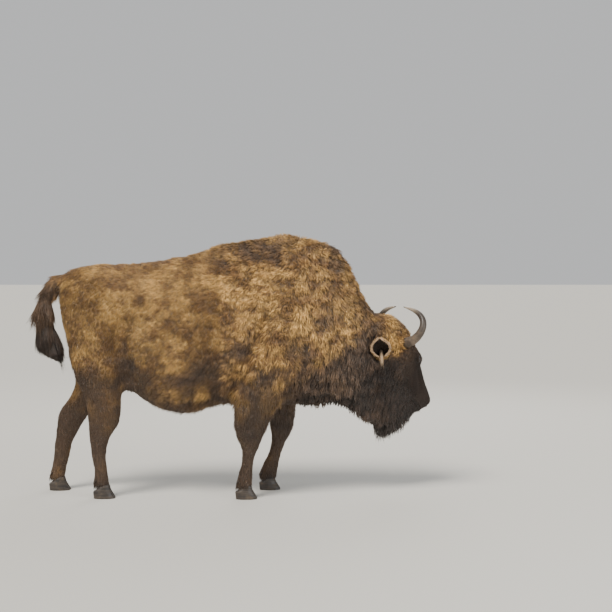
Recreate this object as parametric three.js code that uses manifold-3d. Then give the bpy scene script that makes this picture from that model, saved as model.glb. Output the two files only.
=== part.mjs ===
// A wisent bull, life size, standing with its head lowered to browse.
// Millimetres, +Z up, +X forward, +Y to the animal's left.
//
// The body is one smooth volume: tables of sections along the barrel, the head and each leg, with
// a few muscle masses blended in. It is cut by planes into trunk, neck, head, beard and legs.
// The sections reach out to the tips of the coat. Horns, ears, eyes, tail and claws are lofts.
import * as THREE from "three";
import Module from "manifold-3d";
import { LoftGeometry } from "three/addons/geometries/LoftGeometry.js";
import { mergeVertices } from "three/addons/utils/BufferGeometryUtils.js";

const GAP = 0.6; // clearance between neighbouring nodes

// Edge lengths of the cells each part is faceted with: along X, Y and Z.
const CELL = {
  trunk: [88, 66, 77],
  neck: [70, 60, 70],
  head: [44, 43, 46],
  beard: [46, 44, 44],
  leg: [39, 38, 64],
};

// ------------------------------------------------------------------ body tables

// Barrel and neck, along X. Each row: x, belly line, back line, sideways middle, half width,
// height of the widest point (0 belly .. 1 back), roundness of the upper and of the lower half.
const BARREL = [
  [-1138, 1300, 1370, 0, 26, 0.5, 2.0, 2.0],
  [-1130, 1215, 1430, 0, 82, 0.5, 2.0, 2.0],
  [-1112, 1130, 1478, 0, 122, 0.5, 2.0, 2.0],
  [-1070, 1010, 1505, 0, 162, 0.52, 2.0, 2.0],
  [-1000, 890, 1530, 0, 202, 0.54, 2.1, 2.0],
  [-900, 810, 1545, 0, 232, 0.54, 2.1, 2.1],
  [-780, 765, 1546, 0, 250, 0.5, 2.05, 2.2],
  [-700, 745, 1548, 0, 246, 0.47, 2.0, 2.2],
  [-640, 680, 1552, 0, 266, 0.45, 2.0, 2.2],
  [-560, 622, 1562, 0, 292, 0.43, 2.0, 2.2],
  [-460, 572, 1578, 0, 314, 0.42, 1.95, 2.2],
  [-360, 545, 1595, 0, 324, 0.41, 1.9, 2.2],
  [-265, 532, 1612, 0, 328, 0.4, 1.85, 2.2],
  [-165, 572, 1652, 0, 322, 0.39, 1.75, 2.2],
  [-60, 604, 1692, 0, 304, 0.38, 1.66, 2.2],
  [60, 630, 1716, 0, 286, 0.38, 1.6, 2.2],
  [200, 640, 1736, 0, 286, 0.38, 1.58, 2.2],
  [350, 628, 1750, 0, 294, 0.38, 1.56, 2.1],
  [480, 608, 1744, 0, 282, 0.39, 1.56, 2.0],
  [600, 600, 1720, 0, 258, 0.4, 1.6, 1.9],
  [700, 606, 1676, 0, 230, 0.42, 1.66, 1.8],
  [770, 584, 1606, -4, 208, 0.44, 1.75, 1.75],
  [830, 552, 1482, -8, 188, 0.46, 1.85, 1.7],
  [890, 520, 1362, -8, 170, 0.48, 1.95, 1.7],
  [950, 486, 1250, 6, 154, 0.5, 2.0, 1.7],
  [1010, 470, 1160, 38, 134, 0.5, 2.0, 1.7],
  [1070, 500, 1080, 76, 104, 0.5, 2.0, 1.8],
  [1110, 560, 1000, 92, 56, 0.5, 2.0, 2.0],
];

// Legs, along Z from the ground up. Each row: z, rear edge, front edge, sideways middle and half
// width. Right is the -Y side.
const LEGS = {
  foreleg_r: [
    [-20, 36, 158, -172, 50],
    [72, 38, 154, -172, 51],
    [118, 42, 158, -172, 50],
    [170, 62, 158, -172, 44],
    [230, 76, 164, -172, 42],
    [300, 80, 184, -173, 48],
    [340, 76, 204, -173, 55],
    [385, 54, 222, -174, 62],
    [440, 34, 246, -175, 76],
    [520, 28, 284, -176, 90],
    [587, 26, 312, -177, 100],
    [685, 14, 352, -176, 114],
    [800, 6, 404, -172, 122],
    [900, 10, 430, -168, 118],
  ],
  foreleg_l: [
    [-20, 178, 308, 172, 50],
    [72, 180, 306, 172, 51],
    [118, 186, 312, 172, 50],
    [176, 208, 326, 172, 45],
    [241, 240, 344, 172, 43],
    [297, 261, 361, 172, 48],
    [340, 268, 380, 173, 55],
    [381, 266, 404, 174, 63],
    [440, 254, 428, 175, 77],
    [512, 240, 444, 177, 93],
    [600, 222, 458, 176, 107],
    [700, 200, 470, 174, 118],
    [800, 160, 470, 170, 120],
    [900, 140, 460, 168, 118],
  ],
  hindleg_r: [
    [-20, -900, -782, -150, 48],
    [72, -899, -786, -150, 49],
    [116, -896, -786, -150, 48],
    [170, -890, -798, -150, 42],
    [250, -902, -806, -150, 41],
    [306, -912, -806, -150, 45],
    [363, -918, -792, -150, 50],
    [419, -926, -768, -151, 57],
    [476, -931, -727, -152, 64],
    [533, -932, -707, -152, 74],
    [646, -946, -702, -152, 94],
    [744, -972, -690, -150, 112],
    [850, -1010, -670, -146, 124],
  ],
  hindleg_l: [
    [-20, -1252, -1132, 150, 48],
    [72, -1250, -1134, 150, 49],
    [116, -1244, -1130, 150, 48],
    [172, -1226, -1120, 150, 42],
    [226, -1217, -1102, 150, 41],
    [328, -1208, -1078, 150, 45],
    [403, -1200, -1038, 150, 50],
    [484, -1190, -990, 151, 58],
    [545, -1173, -940, 152, 69],
    [627, -1112, -862, 152, 90],
    [744, -1060, -760, 150, 112],
    [850, -1040, -700, 146, 124],
  ],
};

// Muscle masses: centre, radii, lean about Y in degrees, and how far they blend.
const MASSES = [
  { at: [290, -178, 1000], radii: [232, 134, 410], lean: 12, blend: 70 },
  { at: [290, 178, 1000], radii: [232, 134, 410], lean: 12, blend: 70 },
  { at: [-865, -128, 1040], radii: [208, 130, 370], lean: -4, blend: 60 },
  { at: [-865, 128, 1040], radii: [208, 130, 370], lean: 6, blend: 60 },
];

// Head frame: +X of its rows is the muzzle direction, +Y the forehead normal, +Z the right side.
const HEAD_AT = new THREE.Vector3(1090, 100, 1017); // midway between the horn bases
const HEAD_YAW = 33; // turned to the animal's left
const HEAD_PITCH = 68; // muzzle down

// Head, along the muzzle direction. Each row: distance from the horns, throat line, forehead
// line, half width, height of the widest point, roundness above and below.
const HEAD = [
  [-214, -112, -18, 40, 0.5, 2.0, 2.0],
  [-196, -190, 26, 84, 0.5, 2.0, 2.0],
  [-150, -235, 80, 114, 0.5, 2.0, 2.0],
  [-100, -250, 112, 130, 0.52, 2.0, 2.0],
  [-50, -255, 130, 139, 0.55, 2.1, 2.0],
  [10, -251, 136, 143, 0.58, 2.3, 2.0],
  [80, -238, 135, 140, 0.6, 2.5, 1.9],
  [140, -218, 137, 130, 0.6, 2.6, 1.9],
  [200, -192, 138, 114, 0.58, 2.6, 1.9],
  [270, -162, 137, 98, 0.56, 2.5, 2.0],
  [340, -128, 136, 86, 0.55, 2.5, 2.1],
  [400, -98, 137, 80, 0.54, 2.5, 2.2],
  [455, -72, 138, 80, 0.53, 2.4, 2.2],
  [494, -50, 130, 70, 0.52, 2.3, 2.2],
  [518, -20, 108, 50, 0.5, 2.1, 2.1],
  [530, 20, 72, 16, 0.5, 2.0, 2.0],
];

// Masses of the head, in its frame: brow ridges, cheeks, nostril wings and chin.
const HEAD_MASSES = [
  { at: [148, 70, 112], radii: [60, 46, 41], blend: 34 },
  { at: [148, 70, -112], radii: [60, 46, 41], blend: 34 },
  { at: [180, -60, 84], radii: [120, 78, 40], blend: 50 },
  { at: [180, -60, -84], radii: [120, 78, 40], blend: 50 },
  { at: [474, 84, 46], radii: [38, 36, 34], blend: 22 },
  { at: [474, 84, -46], radii: [38, 36, 34], blend: 22 },
];

// Beard, along Z from its tip. Each row: z, rear edge, front edge, sideways middle, half width.
const BEARD = [
  [384, 1018, 1058, 140, 12],
  [396, 986, 1094, 140, 34],
  [424, 958, 1138, 140, 52],
  [470, 936, 1192, 138, 66],
  [520, 926, 1236, 136, 76],
  [570, 926, 1240, 134, 82],
  [640, 926, 1200, 128, 84],
  [720, 930, 1150, 122, 84],
];

const OVAL = [0.5, 2.1, 2.1]; // height of the widest point and roundness of a leg's sections
const STEEPEST = 3; // how fast a section may narrow in the reckoning of distances
const BLEND = { head: 70, leg: 70, beard: 70 };

// How a faceted vertex settles: the share of a cell it may move, how often, least slope squared.
const SETTLING = { share: 0.35, turns: 3, flattest: 0.2 };

// The blocks of space the body is faceted in, low and high corner. A leg's is set by its span.
const BLOCKS = {
  trunk: [[-1192, -424, 476], [940, 420, 1800]],
  neck: [[480, -340, 360], [1260, 420, 1800]],
  head: [[700, -320, 470], [1460, 460, 1330]],
  beard: [[760, -200, 380], [1380, 400, 600]],
};
const LEG_BLOCK = { half_width: 420, bottom: 20, above_cut: 60 };
const UNDERSIDE_BLOCK = 1000; // width and height of the space cut away under the belly

// ------------------------------------------------------------------ cuts between the nodes

const NECK_CUT = { at: [690, 0, 1200], normal: [0.977, 0, -0.215] };
const HEAD_CUT = { at: [902, 100, 900], normal: [0.978, 0.208, 0] };
const BEARD_CUT_Z = 533;
const FORELEG_CUT_Z = 598;
const HINDLEG_CUT_Z = 700;
const FORELEG_SPAN = [-60, 560]; // the length of belly line over the forelegs
const HINDLEG_SPAN = [-1300, -655];
const CORONET_Z = 72;

// ------------------------------------------------------------------ horns, ears, eyes

// Right horn in the head frame, base to tip: along muzzle, along forehead normal, sideways.
const HORN = [
  [6, -6, 84],
  [2, 4, 146],
  [-8, 26, 200],
  [-38, 60, 240],
  [-76, 96, 254],
  [-114, 123, 240],
  [-150, 140, 196],
  [-176, 146, 128],
  [-193, 145, 44],
];
const HORN_RADII = [36, 34.5, 30, 25.5, 22, 19, 15.5, 10.5, 3.5];
const HORN_RINGS = 12;
const HORN_SIDES = 10;

// Ears in the head frame: the right one is laid back with its cup to the side, the left one
// stands out sideways with its cup forward.
const EAR_AIM = {
  r: { base: [30, -188, 108], tip: [-128, -214, 188], opening: [0.42, -0.63, 0.65] },
  l: { base: [-34, -150, -112], tip: [-50, -100, -320], opening: [0.62, 0.5, -0.35] },
};
const EAR = {
  half_width: [30, 50, 68, 73, 66, 46, 18],
  half_depth: [26, 37, 46, 48, 43, 30, 12],
  sides: 10,
  wall: 0.82,
  cup_forward: 0.62,
  cup_from: 0.3,
  cup_to: 1.08,
};

const EYE = { at: [152, 68, 132], radius: 20.5, columns: 10, rows: 6 };

// ------------------------------------------------------------------ tail and claws

// Tail, root to tip: x, z, half thickness in side view, half width.
const TAIL = [
  [-1010, 1444, 42, 36],
  [-1090, 1452, 44, 38],
  [-1158, 1418, 46, 39],
  [-1206, 1360, 50, 42],
  [-1232, 1292, 61, 46],
  [-1243, 1212, 75, 50],
  [-1243, 1132, 85, 54],
  [-1228, 1062, 98, 52],
  [-1200, 1002, 86, 46],
  [-1160, 944, 54, 34],
  [-1124, 892, 14, 10],
];
const TAIL_RINGS = 15;
const TAIL_SIDES = 10;
const TAIL_CUT_Z = 1262;

// Each foot has two claws side by side: sizes at the sole and at the coronet.
const CLAW = {
  sole_length: 142,
  top_length: 106,
  heel_back: 5,
  sole_width: 54,
  top_width: 47,
  inner_share: 0.26,
  inner_bulge: 0.35,
  toe_taper: 0.25,
  between: 4,
  sides: 12,
  levels: [0, 10, 71],
};

const FEET = {
  hoof_fr: { x: 118, y: -172 },
  hoof_fl: { x: 262, y: 172 },
  hoof_hr: { x: -818, y: -150 },
  hoof_hl: { x: -1168, y: 150 },
};

const LOOKS = {
  coat: { color: 0x8a6440, roughness: 0.95 },
  dark_coat: { color: 0x4a3526, roughness: 0.95 },
  horn: { color: 0x3a332c, roughness: 0.45 },
  claw: { color: 0x2b2521, roughness: 0.5 },
  eye: { color: 0x120c09, roughness: 0.08 },
};

const { Manifold, Mesh: SolidMesh } = await openKernel();

async function openKernel() {
  const kernel = await Module();
  kernel.setup();
  return kernel;
}

// ------------------------------------------------------------------ fields

// A smooth reading of a table whose first column is the place along an axis.
function reader(rows) {
  const width = rows[0].length - 1;
  const places = rows.map((row) => row[0]);
  const values = rows.flatMap((row) => row.slice(1));
  return new THREE.CubicInterpolant(places, values, width, new Float64Array(width));
}

// How far out a point lies in a section: 0 in the middle, 1 on the outline.
function reach(section, up, across) {
  const [low, high, side, half, level, above, below] = section;
  const middle = low + level * (high - low);
  const rise = up - middle;
  const power = rise > 0 ? above : below;
  const room = Math.max(rise > 0 ? high - middle : middle - low, 1);
  const v = Math.abs(rise) / room;
  const w = Math.abs(across - side) / Math.max(half, 1);
  return (v ** power + w ** power) ** (1 / power);
}

// Distance to a body of sections: negative inside. Places are (along, up, across).
function sectioned(rows) {
  const read = reader(rows);
  const first = rows[0][0];
  const last = rows[rows.length - 1][0];
  const value = (s, u, w) => reach(read.evaluate(Math.min(Math.max(s, first), last)), u, w) - 1;
  const step = 4;
  return (s, u, w) => {
    const here = value(s, u, w);
    const ds = (value(s + step, u, w) - value(s - step, u, w)) / (2 * step);
    const du = (value(s, u + step, w) - value(s, u - step, w)) / (2 * step);
    const dw = (value(s, u, w + step) - value(s, u, w - step)) / (2 * step);
    const level = Math.hypot(du, dw);
    const slope = Math.max(Math.hypot(Math.min(Math.abs(ds), STEEPEST * level), level), 1e-4);
    const past = Math.max(first - s, s - last, 0);
    return Math.hypot(Math.max(here / slope, 0), past) + Math.min(here / slope, 0);
  };
}

function ellipsoid({ at, radii, lean = 0 }) {
  const c = Math.cos(THREE.MathUtils.degToRad(lean));
  const s = Math.sin(THREE.MathUtils.degToRad(lean));
  return (x, y, z) => {
    const dx = x - at[0];
    const dz = z - at[2];
    const a = (c * dx - s * dz) / radii[0];
    const b = (y - at[1]) / radii[1];
    const d = (s * dx + c * dz) / radii[2];
    const k = Math.hypot(a, b, d);
    const g = Math.hypot(a / radii[0], b / radii[1], d / radii[2]);
    return g > 1e-9 ? (k * (k - 1)) / g : -Math.min(...radii);
  };
}

function blend(a, b, width) {
  const h = Math.max(width - Math.abs(a - b), 0) / width;
  return Math.min(a, b) - (h * h * width) / 4;
}

// Rows of a leg or of the beard carry no roundness: their sections are plain ovals.
const upright = (rows) => rows.map((row) => [...row, ...OVAL]);
const headRows = HEAD.map(([s, low, high, half, ...rest]) => [s, low, high, 0, half, ...rest]);

const yaw = THREE.MathUtils.degToRad(HEAD_YAW);
const pitch = THREE.MathUtils.degToRad(HEAD_PITCH);
const FACING = new THREE.Vector3(Math.cos(yaw), Math.sin(yaw), 0);
const MUZZLE = FACING.clone().multiplyScalar(Math.cos(pitch)).setZ(-Math.sin(pitch));
const RIGHT = new THREE.Vector3(Math.sin(yaw), -Math.cos(yaw), 0);
const FOREHEAD = new THREE.Vector3().crossVectors(RIGHT, MUZZLE);
const HEAD_FRAME = new THREE.Matrix4().makeBasis(MUZZLE, FOREHEAD, RIGHT).setPosition(HEAD_AT);
const FROM_HEAD = HEAD_FRAME.clone().invert();

const inWorld = ([s, u, w]) => new THREE.Vector3(s, u, w).applyMatrix4(HEAD_FRAME);

function headField() {
  const skull = sectioned(headRows);
  const masses = HEAD_MASSES.map((mass) => ({ field: ellipsoid(mass), width: mass.blend }));
  const p = new THREE.Vector3();
  return (x, y, z) => {
    p.set(x, y, z).applyMatrix4(FROM_HEAD);
    let d = skull(p.x, p.y, p.z);
    for (const { field, width } of masses) d = blend(d, field(p.x, p.y, p.z), width);
    return d;
  };
}

function bodyField() {
  const barrel = sectioned(BARREL);
  const head = headField();
  const beard = sectioned(upright(BEARD));
  const legs = Object.values(LEGS).map((rows) => sectioned(upright(rows)));
  const masses = MASSES.map((mass) => ({ field: ellipsoid(mass), width: mass.blend }));
  return (x, y, z) => {
    let d = barrel(x, z, y);
    for (const { field, width } of masses) d = blend(d, field(x, y, z), width);
    for (const leg of legs) d = blend(d, leg(z, x, y), BLEND.leg);
    d = blend(d, head(x, y, z), BLEND.head);
    return blend(d, beard(z, x, y), BLEND.beard);
  };
}

// ------------------------------------------------------------------ faceting

// Signed distance to an upright box, used to close a field at the edge of its grid.
function boxDistance(box, x, y, z) {
  const dx = Math.max(box.min.x - x, x - box.max.x);
  const dy = Math.max(box.min.y - y, y - box.max.y);
  const dz = Math.max(box.min.z - z, z - box.max.z);
  return Math.max(dx, dy, dz);
}

// One vertex per crossed cell, one quad per crossed edge of the grid; each vertex then slides
// down the slope of the field onto its surface.
function facet(field, low, high, cell) {
  const box = new THREE.Box3(new THREE.Vector3(...low), new THREE.Vector3(...high));
  const closed = (x, y, z) => Math.max(field(x, y, z), boxDistance(box, x, y, z));
  const count = [0, 1, 2].map((k) => Math.ceil((high[k] - low[k]) / cell[k]) + 4);
  const place = (k, i) => low[k] + (i - 1.5) * cell[k];
  const at = (i, j, k) => (k * count[1] + j) * count[0] + i;
  const values = new Float64Array(count[0] * count[1] * count[2]);
  for (let k = 0; k < count[2]; k++)
    for (let j = 0; j < count[1]; j++)
      for (let i = 0; i < count[0]; i++)
        values[at(i, j, k)] = closed(place(0, i), place(1, j), place(2, k));

  const vertexOf = new Map();
  const positions = [];
  const vertex = (i, j, k) => {
    const key = at(i, j, k);
    if (!vertexOf.has(key)) {
      vertexOf.set(key, positions.length / 3);
      positions.push(...settle(closed, crossing(values, at, place, i, j, k), cell));
    }
    return vertexOf.get(key);
  };

  const faces = [];
  const quad = (a, b, c, d) => {
    const corner = (n) => new THREE.Vector3(...positions.slice(3 * n, 3 * n + 3));
    const short = corner(a).distanceTo(corner(c)) <= corner(b).distanceTo(corner(d));
    if (short) faces.push(a, b, c, a, c, d);
    else faces.push(a, b, d, b, c, d);
  };
  for (let k = 1; k < count[2] - 1; k++)
    for (let j = 1; j < count[1] - 1; j++)
      for (let i = 1; i < count[0] - 1; i++) {
        const inside = values[at(i, j, k)] < 0;
        const around = [
          [values[at(i + 1, j, k)], [[0, -1, -1], [0, 0, -1], [0, 0, 0], [0, -1, 0]]],
          [values[at(i, j + 1, k)], [[-1, 0, -1], [-1, 0, 0], [0, 0, 0], [0, 0, -1]]],
          [values[at(i, j, k + 1)], [[-1, -1, 0], [0, -1, 0], [0, 0, 0], [-1, 0, 0]]],
        ];
        for (const [next, cells] of around) {
          if (next < 0 === inside) continue;
          const ring = cells.map(([a, b, c]) => vertex(i + a, j + b, k + c));
          if (inside) quad(...ring);
          else quad(...ring.reverse());
        }
      }
  return solid(positions, faces);
}

// The middle of the places where a cell's edges cross the surface.
function crossing(values, at, place, i, j, k) {
  const sum = [0, 0, 0];
  let found = 0;
  for (let corner = 0; corner < 8; corner++)
    for (let axis = 0; axis < 3; axis++) {
      if (corner & (1 << axis)) continue;
      const a = [corner & 1, (corner >> 1) & 1, (corner >> 2) & 1];
      const b = a.slice();
      b[axis] = 1;
      const va = values[at(i + a[0], j + a[1], k + a[2])];
      const vb = values[at(i + b[0], j + b[1], k + b[2])];
      if (va < 0 === vb < 0) continue;
      const t = va / (va - vb);
      const steps = [i, j, k];
      for (let n = 0; n < 3; n++) sum[n] += place(n, steps[n] + a[n] + t * (b[n] - a[n]));
      found++;
    }
  return sum.map((value) => value / found);
}

function settle(field, start, cell) {
  const most = Math.min(...cell) * SETTLING.share;
  const p = start.slice();
  const step = 2;
  for (let turn = 0; turn < SETTLING.turns; turn++) {
    const here = field(...p);
    const slope = [0, 1, 2].map((n) => {
      const ahead = p.slice();
      const behind = p.slice();
      ahead[n] += step;
      behind[n] -= step;
      return (field(...ahead) - field(...behind)) / (2 * step);
    });
    const size = Math.max(slope[0] ** 2 + slope[1] ** 2 + slope[2] ** 2, SETTLING.flattest);
    const move = THREE.MathUtils.clamp(here / size, -most, most);
    for (let n = 0; n < 3; n++) p[n] -= move * slope[n];
  }
  return p;
}

// ------------------------------------------------------------------ solids

function solid(positions, faces) {
  return new Manifold(
    new SolidMesh({
      numProp: 3,
      vertProperties: new Float32Array(positions),
      triVerts: new Uint32Array(faces),
    }),
  );
}

function solidFromGeometry(geometry) {
  const bare = new THREE.BufferGeometry();
  bare.setAttribute("position", geometry.getAttribute("position"));
  bare.setIndex(geometry.index);
  const merged = mergeVertices(bare, 1e-3);
  return solid(merged.attributes.position.array, dropFlat(merged.index.array));
}

// Leaves out faces whose corners merged into one.
function dropFlat(index) {
  const kept = [];
  for (let n = 0; n < index.length; n += 3) {
    const [a, b, c] = [index[n], index[n + 1], index[n + 2]];
    if (a !== b && b !== c && c !== a) kept.push(a, b, c);
  }
  return kept;
}

// Keeps the side of a plane its normal points to, half the gap clear of it.
function keep(body, normal, point) {
  const n = new THREE.Vector3(...normal).normalize();
  return body.trimByPlane(n.toArray(), n.dot(new THREE.Vector3(...point)) + GAP / 2);
}

const opposite = (normal) => normal.map((value) => -value);

function loft(sections) {
  return solidFromGeometry(new LoftGeometry(sections, { capStart: true, capEnd: true }));
}

// Ring of points round a centre, spanned by two half axes, counterclockwise seen from the end.
function ring(centre, a, b, sides) {
  return Array.from({ length: sides }, (_, n) => {
    const angle = (2 * Math.PI * n) / sides;
    return centre.clone().addScaledVector(a, Math.cos(angle)).addScaledVector(b, Math.sin(angle));
  });
}

const rounded = (points) => new THREE.CatmullRomCurve3(points, false, "centripetal");

// ------------------------------------------------------------------ horns

function horn(side, swell = 0) {
  const path = rounded(HORN.map(([s, u, w]) => inWorld([s, u, side * w])));
  const radii = reader(HORN_RADII.map((radius, n) => [n / (HORN_RADII.length - 1), radius]));
  const frames = path.computeFrenetFrames(HORN_RINGS, false);
  const sections = [];
  for (let n = 0; n <= HORN_RINGS; n++) {
    const radius = radii.evaluate(n / HORN_RINGS)[0] + swell;
    const a = frames.normals[n].clone().multiplyScalar(radius);
    const b = frames.binormals[n].clone().multiplyScalar(radius);
    const root = n === 0 ? -swell : 0;
    const centre = path.getPoint(n / HORN_RINGS).addScaledVector(frames.tangents[n], root);
    sections.push(ring(centre, a, b, HORN_SIDES));
  }
  return loft(sections);
}

// ------------------------------------------------------------------ ears

function earSections(side, from, to, scale, forward, swell) {
  const aim = side > 0 ? EAR_AIM.r : EAR_AIM.l;
  const base = inWorld(aim.base);
  const axis = inWorld(aim.tip).sub(base);
  const opening = new THREE.Vector3(...aim.opening).transformDirection(HEAD_FRAME);
  opening.addScaledVector(axis, -opening.dot(axis) / axis.lengthSq()).normalize();
  const across = new THREE.Vector3().crossVectors(axis, opening).normalize();
  const last = EAR.half_width.length - 1;
  const sizes = reader(EAR.half_width.map((width, n) => [n / last, width, EAR.half_depth[n]]));
  return Array.from({ length: last + 1 }, (_, n) => {
    const t = from + ((to - from) * n) / last;
    const [width, depth] = sizes.evaluate(THREE.MathUtils.clamp(t, 0, 1));
    const centre = base.clone().addScaledVector(axis, t).addScaledVector(opening, forward * depth);
    return ring(
      centre,
      opening.clone().multiplyScalar(depth * scale + swell),
      across.clone().multiplyScalar(width * scale + swell),
      EAR.sides,
    );
  });
}

function ear(side) {
  const shell = loft(earSections(side, 0, 1, 1, 0, 0));
  const hollow = loft(earSections(side, EAR.cup_from, EAR.cup_to, EAR.wall, EAR.cup_forward, 0));
  return shell.subtract(hollow);
}

const earSocket = (side) => loft(earSections(side, -0.02, 1.02, 1, 0, GAP));

// ------------------------------------------------------------------ eyes

function eye(side, swell = 0) {
  const globe = new THREE.SphereGeometry(EYE.radius + swell, EYE.columns, EYE.rows);
  globe.translate(...inWorld([EYE.at[0], EYE.at[1], side * EYE.at[2]]).toArray());
  return solidFromGeometry(globe);
}

// ------------------------------------------------------------------ tail

function tail(swell = 0) {
  const path = rounded(TAIL.map(([x, z]) => new THREE.Vector3(x, 0, z)));
  const last = TAIL.length - 1;
  const sizes = reader(TAIL.map(([, , thick, wide], n) => [n / last, thick, wide]));
  const sections = [];
  for (let n = 0; n <= TAIL_RINGS; n++) {
    const t = n / TAIL_RINGS;
    const [thick, wide] = sizes.evaluate(t);
    const along = path.getTangent(t);
    const out = new THREE.Vector3(along.z, 0, -along.x);
    const side = new THREE.Vector3(0, 1, 0);
    const centre = path.getPoint(t).addScaledVector(along, n === 0 ? -swell : 0);
    out.multiplyScalar(thick + swell);
    side.multiplyScalar(wide + swell);
    sections.push(ring(centre, out, side, TAIL_SIDES));
  }
  return loft(sections);
}

// ------------------------------------------------------------------ claws

// One claw: pointed in front, straight along its inner side, sloping back towards the coronet.
function claw(foot, inner) {
  const top = CLAW.levels.at(-1);
  const sections = CLAW.levels.map((z) => {
    const rise = z / top;
    const length = THREE.MathUtils.lerp(CLAW.sole_length, CLAW.top_length, rise);
    const width = THREE.MathUtils.lerp(CLAW.sole_width, CLAW.top_width, rise);
    const back = foot.x - CLAW.sole_length / 2 - CLAW.heel_back * rise;
    return Array.from({ length: CLAW.sides }, (_, n) => {
      const angle = (2 * Math.PI * n) / CLAW.sides;
      const along = (1 + Math.cos(angle)) / 2;
      const bulge = Math.sin(angle) * (1 - CLAW.toe_taper * along);
      const across = bulge > 0 ? bulge : bulge * CLAW.inner_bulge;
      const share = CLAW.inner_share + (1 - CLAW.inner_share) * across;
      const y = foot.y + inner * (CLAW.between / 2 + width * share);
      return new THREE.Vector3(back + length * along, y, z);
    });
  });
  if (inner < 0) for (const section of sections) section.reverse();
  return loft(sections);
}

// ------------------------------------------------------------------ assembly

const field = bodyField();

function trunkSolid() {
  let body = facet(field, ...BLOCKS.trunk, CELL.trunk);
  body = keep(body, opposite(NECK_CUT.normal), NECK_CUT.at);
  body = body.subtract(legRegion(FORELEG_SPAN, FORELEG_CUT_Z));
  return body.subtract(legRegion(HINDLEG_SPAN, HINDLEG_CUT_Z));
}

// The block of space under the body that a pair of legs stands in, up to their cut.
function legRegion([rear, front], top) {
  const block = new THREE.BoxGeometry(front - rear, UNDERSIDE_BLOCK, UNDERSIDE_BLOCK);
  block.translate((front + rear) / 2, 0, top + GAP / 2 - UNDERSIDE_BLOCK / 2);
  return solidFromGeometry(block);
}

function neckSolid() {
  let body = facet(field, ...BLOCKS.neck, CELL.neck);
  body = keep(body, NECK_CUT.normal, NECK_CUT.at);
  return keep(body, opposite(HEAD_CUT.normal), HEAD_CUT.at);
}

function headSolid() {
  let body = facet(field, ...BLOCKS.head, CELL.head);
  body = keep(body, HEAD_CUT.normal, HEAD_CUT.at);
  return keep(body, [0, 0, 1], [0, 0, BEARD_CUT_Z]);
}

function beardSolid() {
  let body = facet(field, ...BLOCKS.beard, CELL.beard);
  body = keep(body, HEAD_CUT.normal, HEAD_CUT.at);
  return keep(body, [0, 0, -1], [0, 0, BEARD_CUT_Z]);
}

function legSolid(name) {
  const rows = LEGS[name];
  const front = name.startsWith("fore");
  const left = rows[0][3] > 0;
  const [rear, ahead] = front ? FORELEG_SPAN : HINDLEG_SPAN;
  const top = front ? FORELEG_CUT_Z : HINDLEG_CUT_Z;
  const { half_width, bottom, above_cut } = LEG_BLOCK;
  const low = [rear, left ? 0 : -half_width, bottom];
  const high = [ahead, left ? half_width : 0, top + above_cut];
  let body = facet(field, low, high, CELL.leg);
  body = keep(body, [0, 0, -1], [0, 0, top]);
  return keep(body, [0, 0, 1], [0, 0, CORONET_Z]);
}

function geometryOf(body) {
  const mesh = body.getMesh();
  const geometry = new THREE.BufferGeometry();
  geometry.setAttribute("position", new THREE.Float32BufferAttribute(mesh.vertProperties, 3));
  geometry.setIndex(Array.from(mesh.triVerts));
  return geometry;
}

function node(name, body, look) {
  const { color, roughness } = LOOKS[look];
  const material = new THREE.MeshStandardMaterial({ color, roughness, metalness: 0 });
  const mesh = new THREE.Mesh(geometryOf(body), material);
  mesh.name = name;
  return mesh;
}

function build() {
  const group = new THREE.Group();
  const add = (name, body, look) => group.add(node(name, body, look));

  add("trunk", trunkSolid().subtract(tail(GAP)), "coat");
  add("neck", neckSolid().subtract(earSocket(1)).subtract(earSocket(-1)), "coat");
  let head = headSolid();
  for (const side of [1, -1]) {
    head = head.subtract(horn(side, GAP)).subtract(earSocket(side)).subtract(eye(side, GAP));
  }
  add("head", head, "dark_coat");
  add("beard", beardSolid(), "dark_coat");
  for (const name of Object.keys(LEGS)) add(name, legSolid(name), "dark_coat");
  for (const [suffix, side] of [["r", 1], ["l", -1]]) {
    add("horn_" + suffix, horn(side), "horn");
    add("ear_" + suffix, ear(side), "coat");
    add("eye_" + suffix, eye(side), "eye");
  }
  const whole = tail();
  add("tail", keep(whole, [0, 0, 1], [0, 0, TAIL_CUT_Z]), "dark_coat");
  add("tail_brush", keep(whole, [0, 0, -1], [0, 0, TAIL_CUT_Z]), "dark_coat");
  for (const [name, foot] of Object.entries(FEET)) {
    add(name + "_a", claw(foot, 1), "claw");
    add(name + "_b", claw(foot, -1), "claw");
  }
  return centred(group);
}

// Moves every node so the origin lies under the middle of the whole.
function centred(group) {
  const middle = new THREE.Box3().setFromObject(group).getCenter(new THREE.Vector3());
  for (const mesh of group.children) mesh.position.set(-middle.x, -middle.y, 0);
  return group;
}

export default build();
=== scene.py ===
"""A wisent bull, life size, with its head lowered to browse.

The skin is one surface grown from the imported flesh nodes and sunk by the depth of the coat. The
coat is solid tufts rooted in that skin. Metres, +Z up, +X forward, +Y to the animal's left.
"""

import math

import bmesh
import bpy
import numpy as np
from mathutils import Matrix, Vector
from mathutils.bvhtree import BVHTree


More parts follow.
